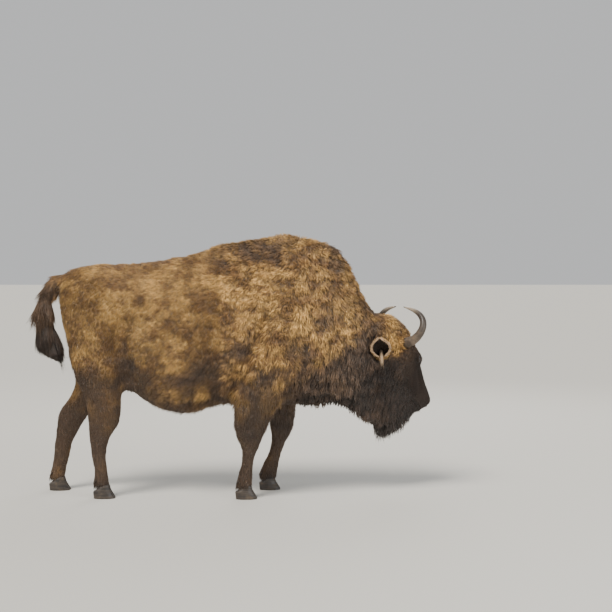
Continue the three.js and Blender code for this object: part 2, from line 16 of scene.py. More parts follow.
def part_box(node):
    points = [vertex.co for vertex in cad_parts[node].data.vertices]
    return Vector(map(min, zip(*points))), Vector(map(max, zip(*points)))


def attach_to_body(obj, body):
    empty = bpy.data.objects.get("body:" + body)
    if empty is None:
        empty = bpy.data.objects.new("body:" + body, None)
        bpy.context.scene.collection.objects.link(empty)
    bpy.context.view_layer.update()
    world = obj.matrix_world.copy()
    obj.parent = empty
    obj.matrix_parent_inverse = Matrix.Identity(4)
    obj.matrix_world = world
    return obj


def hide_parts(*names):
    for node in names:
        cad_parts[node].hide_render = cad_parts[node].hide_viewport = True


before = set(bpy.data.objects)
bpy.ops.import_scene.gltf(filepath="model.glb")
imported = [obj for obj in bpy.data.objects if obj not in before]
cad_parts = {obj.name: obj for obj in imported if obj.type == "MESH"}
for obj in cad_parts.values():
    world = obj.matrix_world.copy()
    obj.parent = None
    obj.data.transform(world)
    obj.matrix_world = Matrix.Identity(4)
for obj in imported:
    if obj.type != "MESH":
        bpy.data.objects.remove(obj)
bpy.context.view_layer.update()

MM = 0.001
IMAGE_SIDE = 612
TAU = 2 * math.pi

# ---------------------------------------------------------------- the head's own directions

HEAD_YAW = math.radians(33)
HEAD_PITCH = math.radians(68)
MUZZLE = np.array(
    [
        math.cos(HEAD_YAW) * math.cos(HEAD_PITCH),
        math.sin(HEAD_YAW) * math.cos(HEAD_PITCH),
        -math.sin(HEAD_PITCH),
    ]
)
RIGHT = np.array([math.sin(HEAD_YAW), -math.cos(HEAD_YAW), 0.0])
FOREHEAD = np.cross(RIGHT, MUZZLE)
HEAD_AXES = np.array([MUZZLE, FOREHEAD, RIGHT])

EYE_PLACE = np.array([152.0, 68.0, 132.0])  # right eye in head millimetres
HEAD_MIDDLE_AT = np.array([1090.0, 100.0, 1017.0])  # between the horns, in maker's millimetres


def box_middle(node):
    low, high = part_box(node)
    return (np.array(low) + np.array(high)) / 2


EYE_CENTRES = {1: box_middle("eye_r"), -1: box_middle("eye_l")}
HEAD_ORIGIN = (EYE_CENTRES[1] + EYE_CENTRES[-1]) / 2 - MM * (
    EYE_PLACE[0] * MUZZLE + EYE_PLACE[1] * FOREHEAD
)
SHIFT = HEAD_ORIGIN - MM * HEAD_MIDDLE_AT  # from maker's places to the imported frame


def place(x, y, z):
    """A place in the maker's millimetres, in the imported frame."""
    return MM * np.array([x, y, z], float) + SHIFT


def head_place(s, u, w):
    """A place in head millimetres: along the muzzle, out of the forehead, to the right."""
    return HEAD_ORIGIN + MM * (np.array([s, u, w], float) @ HEAD_AXES)


def in_head(points):
    return (points - HEAD_ORIGIN) @ HEAD_AXES.T / MM


def in_body(points):
    return (points - SHIFT) / MM


# ---------------------------------------------------------------- the coat, place by place

# Each row: place and lie of the hair in the maker's directions, then depth of the coat, length
# and width of a tuft in mm, curl, and shares of dark and of pale hair. Rows with a place to the
# left serve both sides, but for the legs, which have rows of their own.
BODY_COAT = [
    ((-1050, 110, 1450), (-0.7, 0.2, -0.7), 11, 34, 5, 0.25, 0.12, 0.50),
    ((-1120, 60, 1250), (-0.2, 0.0, -1.0), 9, 30, 5, 0.15, 0.08, 0.60),
    ((-960, 210, 1300), (-0.45, 0.0, -1.0), 11, 34, 5, 0.25, 0.05, 0.65),
    ((-700, 60, 1535), (-1.0, 0.0, -0.1), 13, 38, 5, 0.3, 0.22, 0.35),
    ((-350, 60, 1590), (-1.0, 0.0, -0.15), 16, 40, 5, 0.4, 0.26, 0.40),
    # the rows along the hump's crest are darker: partly darker hair, partly painted shade
    ((0, 60, 1690), (-0.9, 0.0, -0.3), 22, 44, 5.5, 0.8, 0.30, 0.50),
    ((160, 40, 1725), (-0.7, 0.0, -0.3), 24, 44, 5.5, 0.9, 0.42, 0.40),
    ((330, 40, 1740), (-0.5, 0.0, -0.2), 25, 44, 5.5, 0.9, 0.44, 0.38),
    ((620, 40, 1700), (0.5, 0.0, -0.5), 26, 46, 5.5, 0.9, 0.48, 0.32),
    ((800, 30, 1520), (0.7, 0.0, -0.9), 28, 50, 5.5, 0.8, 0.44, 0.36),
    ((930, 10, 1280), (0.6, 0.0, -1.0), 25, 50, 6, 0.7, 0.42, 0.40),
    ((-620, 270, 1150), (-0.75, 0.0, -0.7), 12, 34, 5, 0.25, 0.08, 0.55),
    ((-300, 320, 1200), (-0.75, 0.0, -0.7), 14, 36, 5, 0.3, 0.08, 0.55),
    ((-350, 240, 1450), (-0.85, 0.0, -0.45), 14, 36, 5, 0.35, 0.10, 0.60),
    ((-60, 300, 1050), (-0.6, 0.0, -0.85), 15, 38, 5, 0.35, 0.22, 0.35),
    ((150, 250, 1500), (-0.55, 0.0, -0.85), 21, 42, 6, 0.8, 0.06, 0.85),
    ((300, 310, 1200), (-0.3, 0.0, -1.0), 22, 46, 6, 0.8, 0.08, 0.75),
    ((600, 240, 1450), (0.0, 0.0, -1.0), 26, 54, 6.5, 0.8, 0.22, 0.62),
    ((700, 210, 1150), (0.05, 0.0, -1.0), 29, 66, 6.5, 0.7, 0.36, 0.50),
    ((700, 150, 850), (0.0, 0.0, -1.0), 31, 88, 6.5, 0.5, 0.62, 0.30),
    ((560, 0, 620), (-0.1, 0.0, -1.0), 35, 100, 6.5, 0.4, 0.78, 0.10),
    ((880, 0, 540), (-0.1, 0.0, -1.0), 36, 108, 6.5, 0.35, 0.86, 0.05),
    ((215, 290, 960), (-0.45, 0.0, -1.0), 22, 62, 5, 0.6, 0.16, 0.66),
    ((110, 270, 860), (-0.4, 0.0, -1.0), 22, 66, 5, 0.6, 0.26, 0.50),
    ((250, 290, 800), (-0.15, 0.0, -1.0), 24, 74, 5, 0.6, 0.46, 0.35),
    ((60, 250, 740), (-0.5, 0.0, -1.0), 22, 72, 5, 0.5, 0.44, 0.30),
    ((150, 0, 640), (-0.3, 0.0, -1.0), 26, 70, 6, 0.4, 0.58, 0.15),
    # the rows from here darken the lower barrel, the belly's underside, the fold before the thigh
    # and the hollow behind the arm: partly darker hair, partly painted shade in the hollows and
    # under the belly
    ((-350, 290, 790), (-0.75, 0.0, -0.7), 14, 40, 5, 0.3, 0.42, 0.25),
    ((-100, 290, 800), (-0.75, 0.0, -0.7), 15, 42, 5, 0.3, 0.42, 0.25),
    ((-350, 0, 560), (-0.9, 0.0, -0.5), 18, 52, 6, 0.3, 0.50, 0.15),
    ((-680, 100, 760), (-0.2, 0.0, -1.0), 9, 30, 5, 0.1, 0.50, 0.20),
    ((-690, 240, 900), (-0.3, 0.0, -1.0), 10, 32, 5, 0.1, 0.46, 0.20),
    ((-330, 320, 930), (-0.75, 0.0, -0.7), 14, 38, 5, 0.3, 0.16, 0.55),
    ((20, 290, 930), (-0.5, 0.0, -1.0), 15, 44, 5, 0.35, 0.40, 0.25),
    ((110, 290, 1020), (-0.4, 0.0, -1.0), 16, 50, 5, 0.4, 0.44, 0.25),
    ((560, 230, 1000), (0.0, 0.0, -1.0), 24, 60, 5.5, 0.6, 0.40, 0.40),
    ((-900, 240, 1050), (-0.25, 0.0, -1.0), 9, 30, 5, 0.15, 0.16, 0.50),
    ((-850, 20, 850), (0.0, 0.0, -1.0), 8, 26, 5, 0.1, 0.50, 0.10),
    # forelegs, right then left
    ((170, -176, 640), (-0.1, 0.0, -1.0), 22, 78, 5, 0.6, 0.58, 0.30),
    ((150, -176, 500), (-0.1, 0.0, -1.0), 14, 56, 4.5, 0.5, 0.60, 0.25),
    ((140, -174, 390), (-0.05, 0.0, -1.0), 8, 34, 4, 0.2, 0.60, 0.30),
    ((138, -174, 300), (0.0, 0.0, -1.0), 5, 20, 3.2, 0.0, 0.62, 0.30),
    ((112, -172, 170), (0.0, 0.0, -1.0), 4, 15, 2.8, 0.0, 0.64, 0.30),
    ((100, -172, 95), (0.1, 0.0, -1.0), 4, 46, 3, 0.1, 0.66, 0.25),
    ((330, 176, 640), (-0.1, 0.0, -1.0), 22, 78, 5, 0.6, 0.66, 0.15),
    ((345, 176, 500), (-0.1, 0.0, -1.0), 14, 56, 4.5, 0.5, 0.66, 0.20),
    ((335, 175, 390), (-0.05, 0.0, -1.0), 8, 34, 4, 0.2, 0.66, 0.20),
    ((322, 173, 300), (0.0, 0.0, -1.0), 5, 20, 3.2, 0.0, 0.64, 0.20),
    ((264, 172, 170), (0.0, 0.0, -1.0), 4, 15, 2.8, 0.0, 0.66, 0.25),
    ((244, 172, 95), (0.1, 0.0, -1.0), 4, 46, 3, 0.1, 0.68, 0.20),
    # hind legs, right then left
    ((-825, -152, 640), (0.05, 0.0, -1.0), 9, 32, 4.5, 0.1, 0.56, 0.18),
    ((-850, -152, 460), (0.0, 0.0, -1.0), 6, 22, 3.6, 0.05, 0.60, 0.20),
    ((-857, -150, 300), (0.0, 0.0, -1.0), 4, 16, 3, 0.0, 0.63, 0.20),
    ((-846, -150, 160), (0.0, 0.0, -1.0), 3.5, 14, 2.8, 0.0, 0.64, 0.20),
    ((-842, -150, 95), (0.1, 0.0, -1.0), 4, 46, 3, 0.1, 0.66, 0.15),
    ((-980, 152, 640), (-0.1, 0.0, -1.0), 9, 32, 4.5, 0.1, 0.55, 0.18),
    ((-1080, 152, 480), (-0.2, 0.0, -1.0), 6, 22, 3.6, 0.05, 0.58, 0.25),
    ((-1140, 150, 320), (0.0, 0.0, -1.0), 4, 16, 3, 0.0, 0.62, 0.25),
    ((-1180, 150, 160), (0.0, 0.0, -1.0), 3.5, 14, 2.8, 0.0, 0.64, 0.25),
    ((-1192, 150, 95), (0.1, 0.0, -1.0), 4, 46, 3, 0.1, 0.66, 0.15),
    # tail, root to tip
    ((-1090, 0, 1460), (-1.0, 0.0, 0.0), 10, 70, 4.5, 0.1, 0.52, 0.20),
    ((-1195, 0, 1380), (-0.35, 0.0, -1.0), 14, 100, 4, 0.1, 0.70, 0.14),
    ((-1232, 0, 1290), (0.06, 0.0, -1.0), 18, 145, 4, 0.15, 0.78, 0.06),
    ((-1243, 0, 1150), (0.12, 0.0, -1.0), 28, 190, 4, 0.2, 0.86, 0.03),
    ((-1220, 0, 1040), (0.32, 0.0, -1.0), 30, 160, 4, 0.2, 0.86, 0.0),
    ((-1155, 0, 935), (0.4, 0.0, -1.0), 16, 110, 4, 0.2, 0.90, 0.0),
    # beard
    ((1000, 140, 470), (-0.05, 0.0, -1.0), 30, 115, 6, 0.25, 0.92, 0.0),
    ((1150, 140, 480), (0.05, 0.0, -1.0), 26, 100, 6, 0.25, 0.92, 0.0),
]

# The same for the head, in head millimetres and head directions.
HEAD_COAT = [
    ((-150, 60, 0), (1.0, 0.2, 0.0), 19, 44, 6, 0.9, 0.30, 0.70),
    ((-50, 128, 0), (1.0, 0.0, 0.0), 19, 42, 5.5, 0.9, 0.34, 0.60),
    ((-50, 90, 110), (0.8, -0.2, 0.4), 15, 38, 5.5, 0.9, 0.34, 0.60),
    ((60, 136, 0), (1.0, 0.0, 0.0), 13, 34, 5, 0.8, 0.58, 0.30),
    ((140, 138, 0), (1.0, 0.0, 0.0), 8, 22, 4, 0.4, 0.78, 0.10),
    ((230, 138, 0), (1.0, 0.0, 0.0), 4.5, 14, 3, 0.1, 0.86, 0.0),
    ((380, 137, 0), (1.0, 0.0, 0.0), 3.0, 9, 2.4, 0.0, 0.92, 0.0),
    ((440, 40, 80), (0.5, -0.4, 0.0), 2.5, 8, 2.2, 0.0, 0.92, 0.0),
    ((300, 40, 100), (0.1, -1.0, 0.0), 3.5, 12, 2.6, 0.05, 0.88, 0.0),
    ((200, 0, 128), (-0.1, -1.0, 0.0), 5.5, 18, 3.4, 0.1, 0.84, 0.0),
    ((150, 68, 150), (0.1, -1.0, 0.0), 3.0, 9, 2.2, 0.0, 0.88, 0.0),
    ((60, 20, 143), (0.1, -1.0, 0.0), 9, 27, 4.5, 0.5, 0.66, 0.20),
    ((150, -150, 90), (0.5, -0.5, 0.0), 15, 52, 5.5, 0.2, 0.90, 0.0),
    ((-20, -60, 138), (0.4, -0.9, 0.0), 14, 38, 5.5, 0.7, 0.30, 0.60),
    ((-20, -200, 110), (0.8, -0.4, 0.0), 23, 74, 6, 0.4, 0.74, 0.15),
    ((300, -110, 60), (0.9, -0.4, 0.0), 10, 44, 5, 0.2, 0.95, 0.0),
    ((430, -70, 40), (0.9, -0.3, 0.0), 5, 20, 3.5, 0.1, 0.95, 0.0),
]


def unit(v):
    return v / np.maximum(np.linalg.norm(v, axis=-1, keepdims=True), 1e-9)


def coat_table():
    """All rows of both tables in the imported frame: places, then lie and figures."""
    places, figures = [], []
    for at, lie, *rest in BODY_COAT:
        sides = (1, -1) if at[1] > 0 and not is_leg(at) else (1,)
        for side in sides:
            places.append(place(at[0], at[1] * side, at[2]))
            figures.append([lie[0], lie[1] * side, lie[2], *rest])
    for at, lie, *rest in HEAD_COAT:
        for side in (1, -1) if at[2] else (1,):
            places.append(head_place(at[0], at[1], at[2] * side))
            turned = np.array([lie[0], lie[1], lie[2] * side]) @ HEAD_AXES
            figures.append([*turned, *rest])
    return np.array(places), np.array(figures, float)


def is_leg(at):
    return at[2] < 650 and 140 < abs(at[1]) < 180


COAT_PLACES, COAT_FIGURES = coat_table()
NEARNESS = 4.0  # how sharply the nearest row of the table wins
SOFTNESS = 0.03


def clumps(points):
    """The woolly coat's raised clumps, from about -1 in the gaps to 1 on top."""
    return 0.6 * mottle(points, 0.12, 3) + 0.6 * mottle(points, 0.048, 4)


def coat_at(points):
    """Clumping, lie, depth, length, width, curl, dark and pale share of the coat at each point."""
    sums = np.zeros((len(points), COAT_FIGURES.shape[1]))
    total = np.zeros(len(points))
    for at, figures in zip(COAT_PLACES, COAT_FIGURES):
        gap = np.sum((points - at) ** 2, axis=1) + SOFTNESS**2
        weight = gap ** (-NEARNESS / 2)
        total += weight
        sums += weight[:, None] * figures
    sums /= total[:, None]
    # the markings run into each other in ragged patches
    ragged = 0.7 * mottle(points, 0.13, 91) + 0.45 * mottle(points, 0.055, 92)
    dark, pale = sums[:, 7], sums[:, 8]
    dark = dark + 0.9 * ragged * dark * np.clip(1 - dark, 0, 1)
    pale = pale * (1 - 0.7 * ragged)
    # painted light and shade: the tops of the clumps are drawn paler and the gaps between them
    # darker
    woolly = np.clip((sums[:, 3] - 6) / 7, 0, 1)
    top = clumps(points) * woolly
    pale = pale * (1 + 1.0 * top)
    dark = dark - 0.30 * top * dark ** 0.5 * np.clip(1.1 - dark, 0, 1)
    return {
        "clump": top,
        "lie": unit(sums[:, :3]),
        "depth": sums[:, 3] * MM,
        "length": sums[:, 4] * MM,
        "width": sums[:, 5] * MM,
        "curl": sums[:, 6],
        "dark": np.clip(dark, 0, 1),
        "pale": np.clip(pale, 0, 0.86),
    }


# ---------------------------------------------------------------- small helpers for shapes


def lattice_value(cell, seed):
    """A repeatable number from 0 to 1 for each lattice cell."""
    h = cell[:, 0] * 73856093 ^ cell[:, 1] * 19349663 ^ cell[:, 2] * 83492791 ^ seed * 2654435
    h = (h ^ (h >> 13)) * 1274126177 & 0x7FFFFFFF
    h = (h ^ (h >> 15)) * 668265263 & 0x7FFFFFFF
    return ((h ^ (h >> 12)) & 0xFFFFFF) / float(0xFFFFFF)


LATTICE_TURN = np.array([[0.64, -0.48, 0.60], [0.60, 0.80, 0.0], [-0.48, 0.36, 0.80]])


def mottle(points, size, seed):
    """Smooth noise from -1 to 1 whose lumps are about the given size."""
    scaled = points @ LATTICE_TURN / size + 0.37 * seed
    cell = np.floor(scaled).astype(np.int64)
    part = scaled - cell
    part = part * part * (3 - 2 * part)
    total = np.zeros(len(points))
    for corner in range(8):
        step = np.array([corner & 1, corner >> 1 & 1, corner >> 2 & 1])
        share = np.prod(np.where(step, part, 1 - part), axis=1)
        total += share * lattice_value(cell + step, seed)
    return 2 * total - 1


def ramp(value, low, high):
    t = np.clip((value - low) / (high - low), 0, 1)
    return t * t * (3 - 2 * t)


def put_in_scene(name, data):
    obj = bpy.data.objects.new(name, data)
    bpy.context.scene.collection.objects.link(obj)
    return obj


def mesh_object(name, points, faces, smooth=False):
    mesh = bpy.data.meshes.new(name)
    mesh.from_pydata([tuple(p) for p in points], [], [tuple(f) for f in faces])
    mesh.update()
    if smooth:
        smooth_faces(mesh)
    return put_in_scene(name, mesh)


def smooth_faces(mesh):
    mesh.polygons.foreach_set("use_smooth", np.ones(len(mesh.polygons), bool))


def remove_object(obj):
    mesh = obj.data
    bpy.data.objects.remove(obj)
    bpy.data.meshes.remove(mesh)


def read_rows(items, key, width, kind=np.float32):
    """One property of all of a mesh's vertices, edges or faces, a row for each."""
    flat = np.empty(len(items) * width, kind)
    items.foreach_get(key, flat)
    return flat.reshape(-1, width)


def points_of(mesh):
    return read_rows(mesh.vertices, "co", 3).astype(float)


def normals_of(mesh):
    return read_rows(mesh.vertices, "normal", 3).astype(float)


def edges_of(mesh):
    return read_rows(mesh.edges, "vertices", 2, np.int32)


def faces_of(mesh):
    return [tuple(p.vertices) for p in mesh.polygons]


def triangles_of(mesh):
    mesh.calc_loop_triangles()
    return read_rows(mesh.loop_triangles, "vertices", 3, np.int32)


def set_points(mesh, points):
    mesh.vertices.foreach_set("co", points.astype(np.float32).ravel())
    mesh.update()


def search_tree(points, faces):
    return BVHTree.FromPolygons([tuple(p) for p in points], [tuple(f) for f in faces])


def mesh_from_modifiers(obj):
    """What an object's modifiers make of it, as a plain mesh. The object itself goes."""
    graph = bpy.context.evaluated_depsgraph_get()
    mesh = bpy.data.meshes.new_from_object(obj.evaluated_get(graph))
    remove_object(obj)
    return mesh


def remeshed(name, points, faces, voxel):
    """The points and faces as one closed mesh with even faces."""
    rough = mesh_object(name, points, faces)
    remesh = rough.modifiers.new("closed", "REMESH")
    remesh.mode = "VOXEL"
    remesh.voxel_size = voxel
    return mesh_from_modifiers(rough)


def level_with(vectors, normal):
    """The vectors without the part of them that runs along unit normals."""
    return vectors - normal * np.sum(vectors * normal, axis=1)[:, None]


def swell(mesh, distance):
    """Moves every point out along its own normal by its own distance."""
    set_points(mesh, points_of(mesh) + normals_of(mesh) * distance[:, None])


def relax(values, edges, weight, turns):
    """Draws each value towards the mean of its neighbours, by one weight or its own."""
    count = len(values)
    weight = np.broadcast_to(weight, count)
    share = np.bincount(edges.ravel(), minlength=count).astype(float)
    share[share == 0] = 1
    flat = values.ndim == 1
    values = values[:, None] if flat else values
    for _ in range(turns):
        mean = np.empty_like(values)
        for k in range(values.shape[1]):
            column = values[:, k]
            mean[:, k] = np.bincount(edges[:, 0], column[edges[:, 1]], count)
            mean[:, k] += np.bincount(edges[:, 1], column[edges[:, 0]], count)
        values = values + weight[:, None] * (mean / share[:, None] - values)
    return values[:, 0] if flat else values


def attach(mesh, name, values):
    """Stores one number per vertex under a name that materials read."""
    layer = mesh.attributes.new(name, "FLOAT", "POINT")
    layer.data.foreach_set("value", np.asarray(values, np.float32))


def lay_map(mesh, name, places):
    """Stores a place in a flat map for each corner of the faces."""
    mesh.uv_layers.new(name=name).uv.foreach_set("vector", places.astype(np.float32).ravel())


def smooth_path(points, count):
    """Even places along a rounded line through the given points."""
    points = np.array(points, float)
    padded = np.vstack([2 * points[0] - points[1], points, 2 * points[-1] - points[-2]])
    fine = []
    for k in range(len(points) - 1):
        a, b, c, d = padded[k : k + 4]
        for t in np.linspace(0, 1, 16, endpoint=False):
            fine.append(
                0.5
                * (
                    2 * b
                    + (c - a) * t
                    + (2 * a - 5 * b + 4 * c - d) * t**2
                    + (3 * b - a - 3 * c + d) * t**3
                )
            )
    fine.append(points[-1])
    fine = np.array(fine)
    steps = np.r_[0, np.cumsum(np.linalg.norm(np.diff(fine, axis=0), axis=1))]
    wanted = np.linspace(0, steps[-1], count)
    return np.column_stack([np.interp(wanted, steps, fine[:, k]) for k in range(points.shape[1])])


def bands(rows, sides, closed=False):
    """Quads between rings of equal count. A closed run also joins the last ring to the first."""
    faces = []
    for row in range(rows if closed else rows - 1):
        after = (row + 1) % rows
        for n in range(sides):
            beside = (n + 1) % sides
            corners = ((row, n), (row, beside), (after, beside), (after, n))
            faces.append(tuple(ring * sides + column for ring, column in corners))
    return faces


def tube(rings):
    """Points and outward faces of a closed tube through rings, with fans at both ends."""
    sides = len(rings[0])
    points = [p for ring in rings for p in ring]
    faces = bands(len(rings), sides)
    for ring, centre_of in ((0, rings[0]), (len(rings) - 1, rings[-1])):
        points.append(np.mean(centre_of, axis=0))
        centre = len(points) - 1
        for n in range(sides):
            a, b = ring * sides + n, ring * sides + (n + 1) % sides
            faces.append((b, a, centre) if ring == 0 else (a, b, centre))
    points = np.array(points)
    return points, outward(points, faces)


def joined(shells):
    """Several shells' points and faces as one."""
    points, faces, start = [], [], 0
    for some_points, some_faces in shells:
        points.append(some_points)
        faces += [tuple(k + start for k in f) for f in some_faces]
        start += len(some_points)
    return np.vstack(points), faces


def volume_of(points, faces):
    total = 0.0
    for face in faces:
        a = points[face[0]]
        for k in range(1, len(face) - 1):
            total += np.dot(a, np.cross(points[face[k]], points[face[k + 1]]))
    return total / 6


def outward(points, faces):
    """The faces, turned round if they enclose their volume inside out."""
    if volume_of(points, faces) < 0:
        return [tuple(reversed(f)) for f in faces]
    return [tuple(f) for f in faces]


# ---------------------------------------------------------------- skin

LEGS = ["foreleg_r", "foreleg_l", "hindleg_r", "hindleg_l"]
FLESH = ["trunk", "neck", "head", "beard", *LEGS, "tail", "tail_brush"]
SKIN_VOXEL = 0.0125
BODY_SMOOTHING = 26
DEPTH_SMOOTHING = 14
THINNEST = 0.33  # share of the flesh's own thickness the coat may take from one side
EVEN = 0.6  # pull of its neighbours on a measured depth
FARTHEST = 0.02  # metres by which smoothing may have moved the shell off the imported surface
UNDER_SKIN = 0.002  # metres below the skin from which its thickness is felt for


def flesh_shell():
    """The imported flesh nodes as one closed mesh, and a search tree of their own surface."""
    meshes = [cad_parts[name].data for name in FLESH]
    points, faces = joined([(points_of(mesh), triangles_of(mesh)) for mesh in meshes])
    return remeshed("flesh", points, faces, SKIN_VOXEL), search_tree(points, faces)


def smoothing_weight(points):
    """How strongly each point is drawn smooth: fully on the barrel, less on legs and face."""
    body = in_body(points)
    head = in_head(points)
    legs = 1 - ramp(body[:, 2], 560, 800)
    face = ramp(head[:, 0], 20, 160) * (1 - ramp(np.abs(head[:, 2]), 220, 300))
    face *= ramp(head[:, 1], -260, -160)
    tail = 1 - ramp(body[:, 0], -1160, -1100)
    slight = np.maximum(np.maximum(legs * (body[:, 0] < 620), face), tail)
    return 0.62 * (1 - slight) + 0.2 * slight


def sunk_shell(mesh, surface):
    """Smooths the shell and sinks it by the coat's depth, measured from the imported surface."""
    edges = edges_of(mesh)
    points = points_of(mesh)
    weight = smoothing_weight(points)
    points = relax(points, edges, weight, BODY_SMOOTHING)
    set_points(mesh, points)
    normals = normals_of(mesh)
    depth = coat_at(points)["depth"]
    gap = np.zeros(len(points))
    room = np.full(len(points), 1.0)
    own = search_tree(points, faces_of(mesh))
    for n, (p, normal) in enumerate(zip(points, normals)):
        spot = surface.find_nearest(Vector(p))[0]
        if spot is not None:
            gap[n] = (spot - Vector(p)).dot(Vector(normal))
        hit = own.ray_cast(Vector(p - normal * UNDER_SKIN), Vector(-normal))
        if hit[0] is not None:
            room[n] = hit[3]
    room = relax(room, edges, EVEN, 6)
    gap = relax(np.clip(gap, -FARTHEST, FARTHEST), edges, EVEN, DEPTH_SMOOTHING)
    depth = relax(depth, edges, EVEN, DEPTH_SMOOTHING)
    sink = np.minimum(depth, THINNEST * room) - gap
    points = points - normals * sink[:, None]
    points = relax(points, edges, weight * 0.8, 4)
    lumps = np.clip(depth - 0.007, 0, 0.006) * 0.9 + np.clip(depth - 0.009, 0, 1) * 0.22
    set_points(mesh, points)
    points = points + normals_of(mesh) * (clumps(points) * lumps)[:, None]
    set_points(mesh, points)


# Hollows of the hide on both sides: a line in maker's x and z, half width and depth in mm. A
# depth below nothing is a swelling.
HOLLOWS = [
    ([(235, 1180), (160, 990), (75, 840), (20, 720)], 40, 34),
    ([(330, 1120), (270, 960), (205, 820)], 55, -18),
    ([(-690, 1150), (-700, 950), (-650, 790)], 55, 32),
    ([(-820, 1180), (-820, 1000), (-790, 840)], 75, -15),
    ([(-90, 1500), (40, 1360), (110, 1210)], 70, 10),
    ([(560, 1250), (520, 1050), (470, 860)], 60, 10),
    ([(430, 1560), (390, 1380), (330, 1230)], 60, -9),
    ([(-1010, 1240), (-990, 1080), (-960, 900)], 60, 9),
    ([(-660, 1450), (-610, 1400)], 55, -11),
    ([(-560, 1440), (-420, 1420)], 60, 10),
]


def carve_hollows(mesh):
    """Presses the hollows round arm, shoulder and thigh into the hide, and raises the swellings."""
    points = points_of(mesh)
    body = in_body(points)
    flat = body[:, (0, 2)]
    deep = np.zeros(len(points))
    for line, half, depth in HOLLOWS:
        gap = np.full(len(points), np.inf)
        for a, b in zip(line[:-1], line[1:]):
            a, b = np.array(a, float), np.array(b, float)
            step = b - a
            t = np.clip((flat - a) @ step / (step @ step), 0, 1)
            gap = np.minimum(gap, np.linalg.norm(flat - a - t[:, None] * step, axis=1))
        deep += depth * np.exp(-((gap / half) ** 2)) * ramp(np.abs(body[:, 1]), 90, 180)
    swell(mesh, -deep * MM)


FACE_FINE = [(90, 560), (-170, 190), (-175, 175)]  # head millimetres that get finer faces
FACE_FINEST = [(110, 195), (25, 115), (95, 175)], [(380, 560), (-90, 170), (-110, 110)]


def refine(mesh, boxes, mirrored):
    """Splits the faces inside boxes of head millimetres."""
    bm = bmesh.new()
    bm.from_mesh(mesh)
    bm.verts.ensure_lookup_table()
    head = in_head(np.array([v.co for v in bm.verts]))
    if mirrored:
        head[:, 2] = np.abs(head[:, 2])
    inside = np.zeros(len(head), bool)
    for box in boxes:
        hit = np.ones(len(head), bool)
        for k, (low, high) in enumerate(box):
            hit &= (head[:, k] > low) & (head[:, k] < high)
        inside |= hit
    chosen = [e for e in bm.edges if inside[e.verts[0].index] and inside[e.verts[1].index]]
    bmesh.ops.subdivide_edges(bm, edges=chosen, cuts=1, use_grid_fill=True)
    bm.to_mesh(mesh)
    bm.free()
    mesh.update()


def soften_face(mesh, turns):
    points = points_of(mesh)
    head = in_head(points)
    near = ramp(head[:, 0], 60, 120) * ramp(head[:, 1], -200, -150)
    near *= 1 - ramp(np.abs(head[:, 2]), 180, 230)
    set_points(mesh, relax(points, edges_of(mesh), 0.5 * near, turns))


NOSTRIL = {"at": (510, 80, 45), "long": 25, "short": 11.5, "deep": 19, "slant": 0.95}
MOUTH_FRONT = (528, 2)
MOUTH_CORNER = (398, -44)


def mouth_line(s):
    """Height of the line between the lips at each distance along the muzzle."""
    along = np.clip((s - MOUTH_CORNER[0]) / (MOUTH_FRONT[0] - MOUTH_CORNER[0]), 0, 1)
    line = MOUTH_CORNER[1] + along * (MOUTH_FRONT[1] - MOUTH_CORNER[1])
    return line + 7 * np.sin(along * math.pi)


def nose_pad(points):
    """1 on the bare wet pad between and round the nostrils."""
    s, u, w = in_head(points).T
    pad = ramp(s, 500, 513) * ramp(u, 22, 34) * (1 - ramp(u, 106, 122))
    return pad * (1 - ramp(np.abs(w), 50 + 0.12 * (u - 30), 64 + 0.12 * (u - 30)))


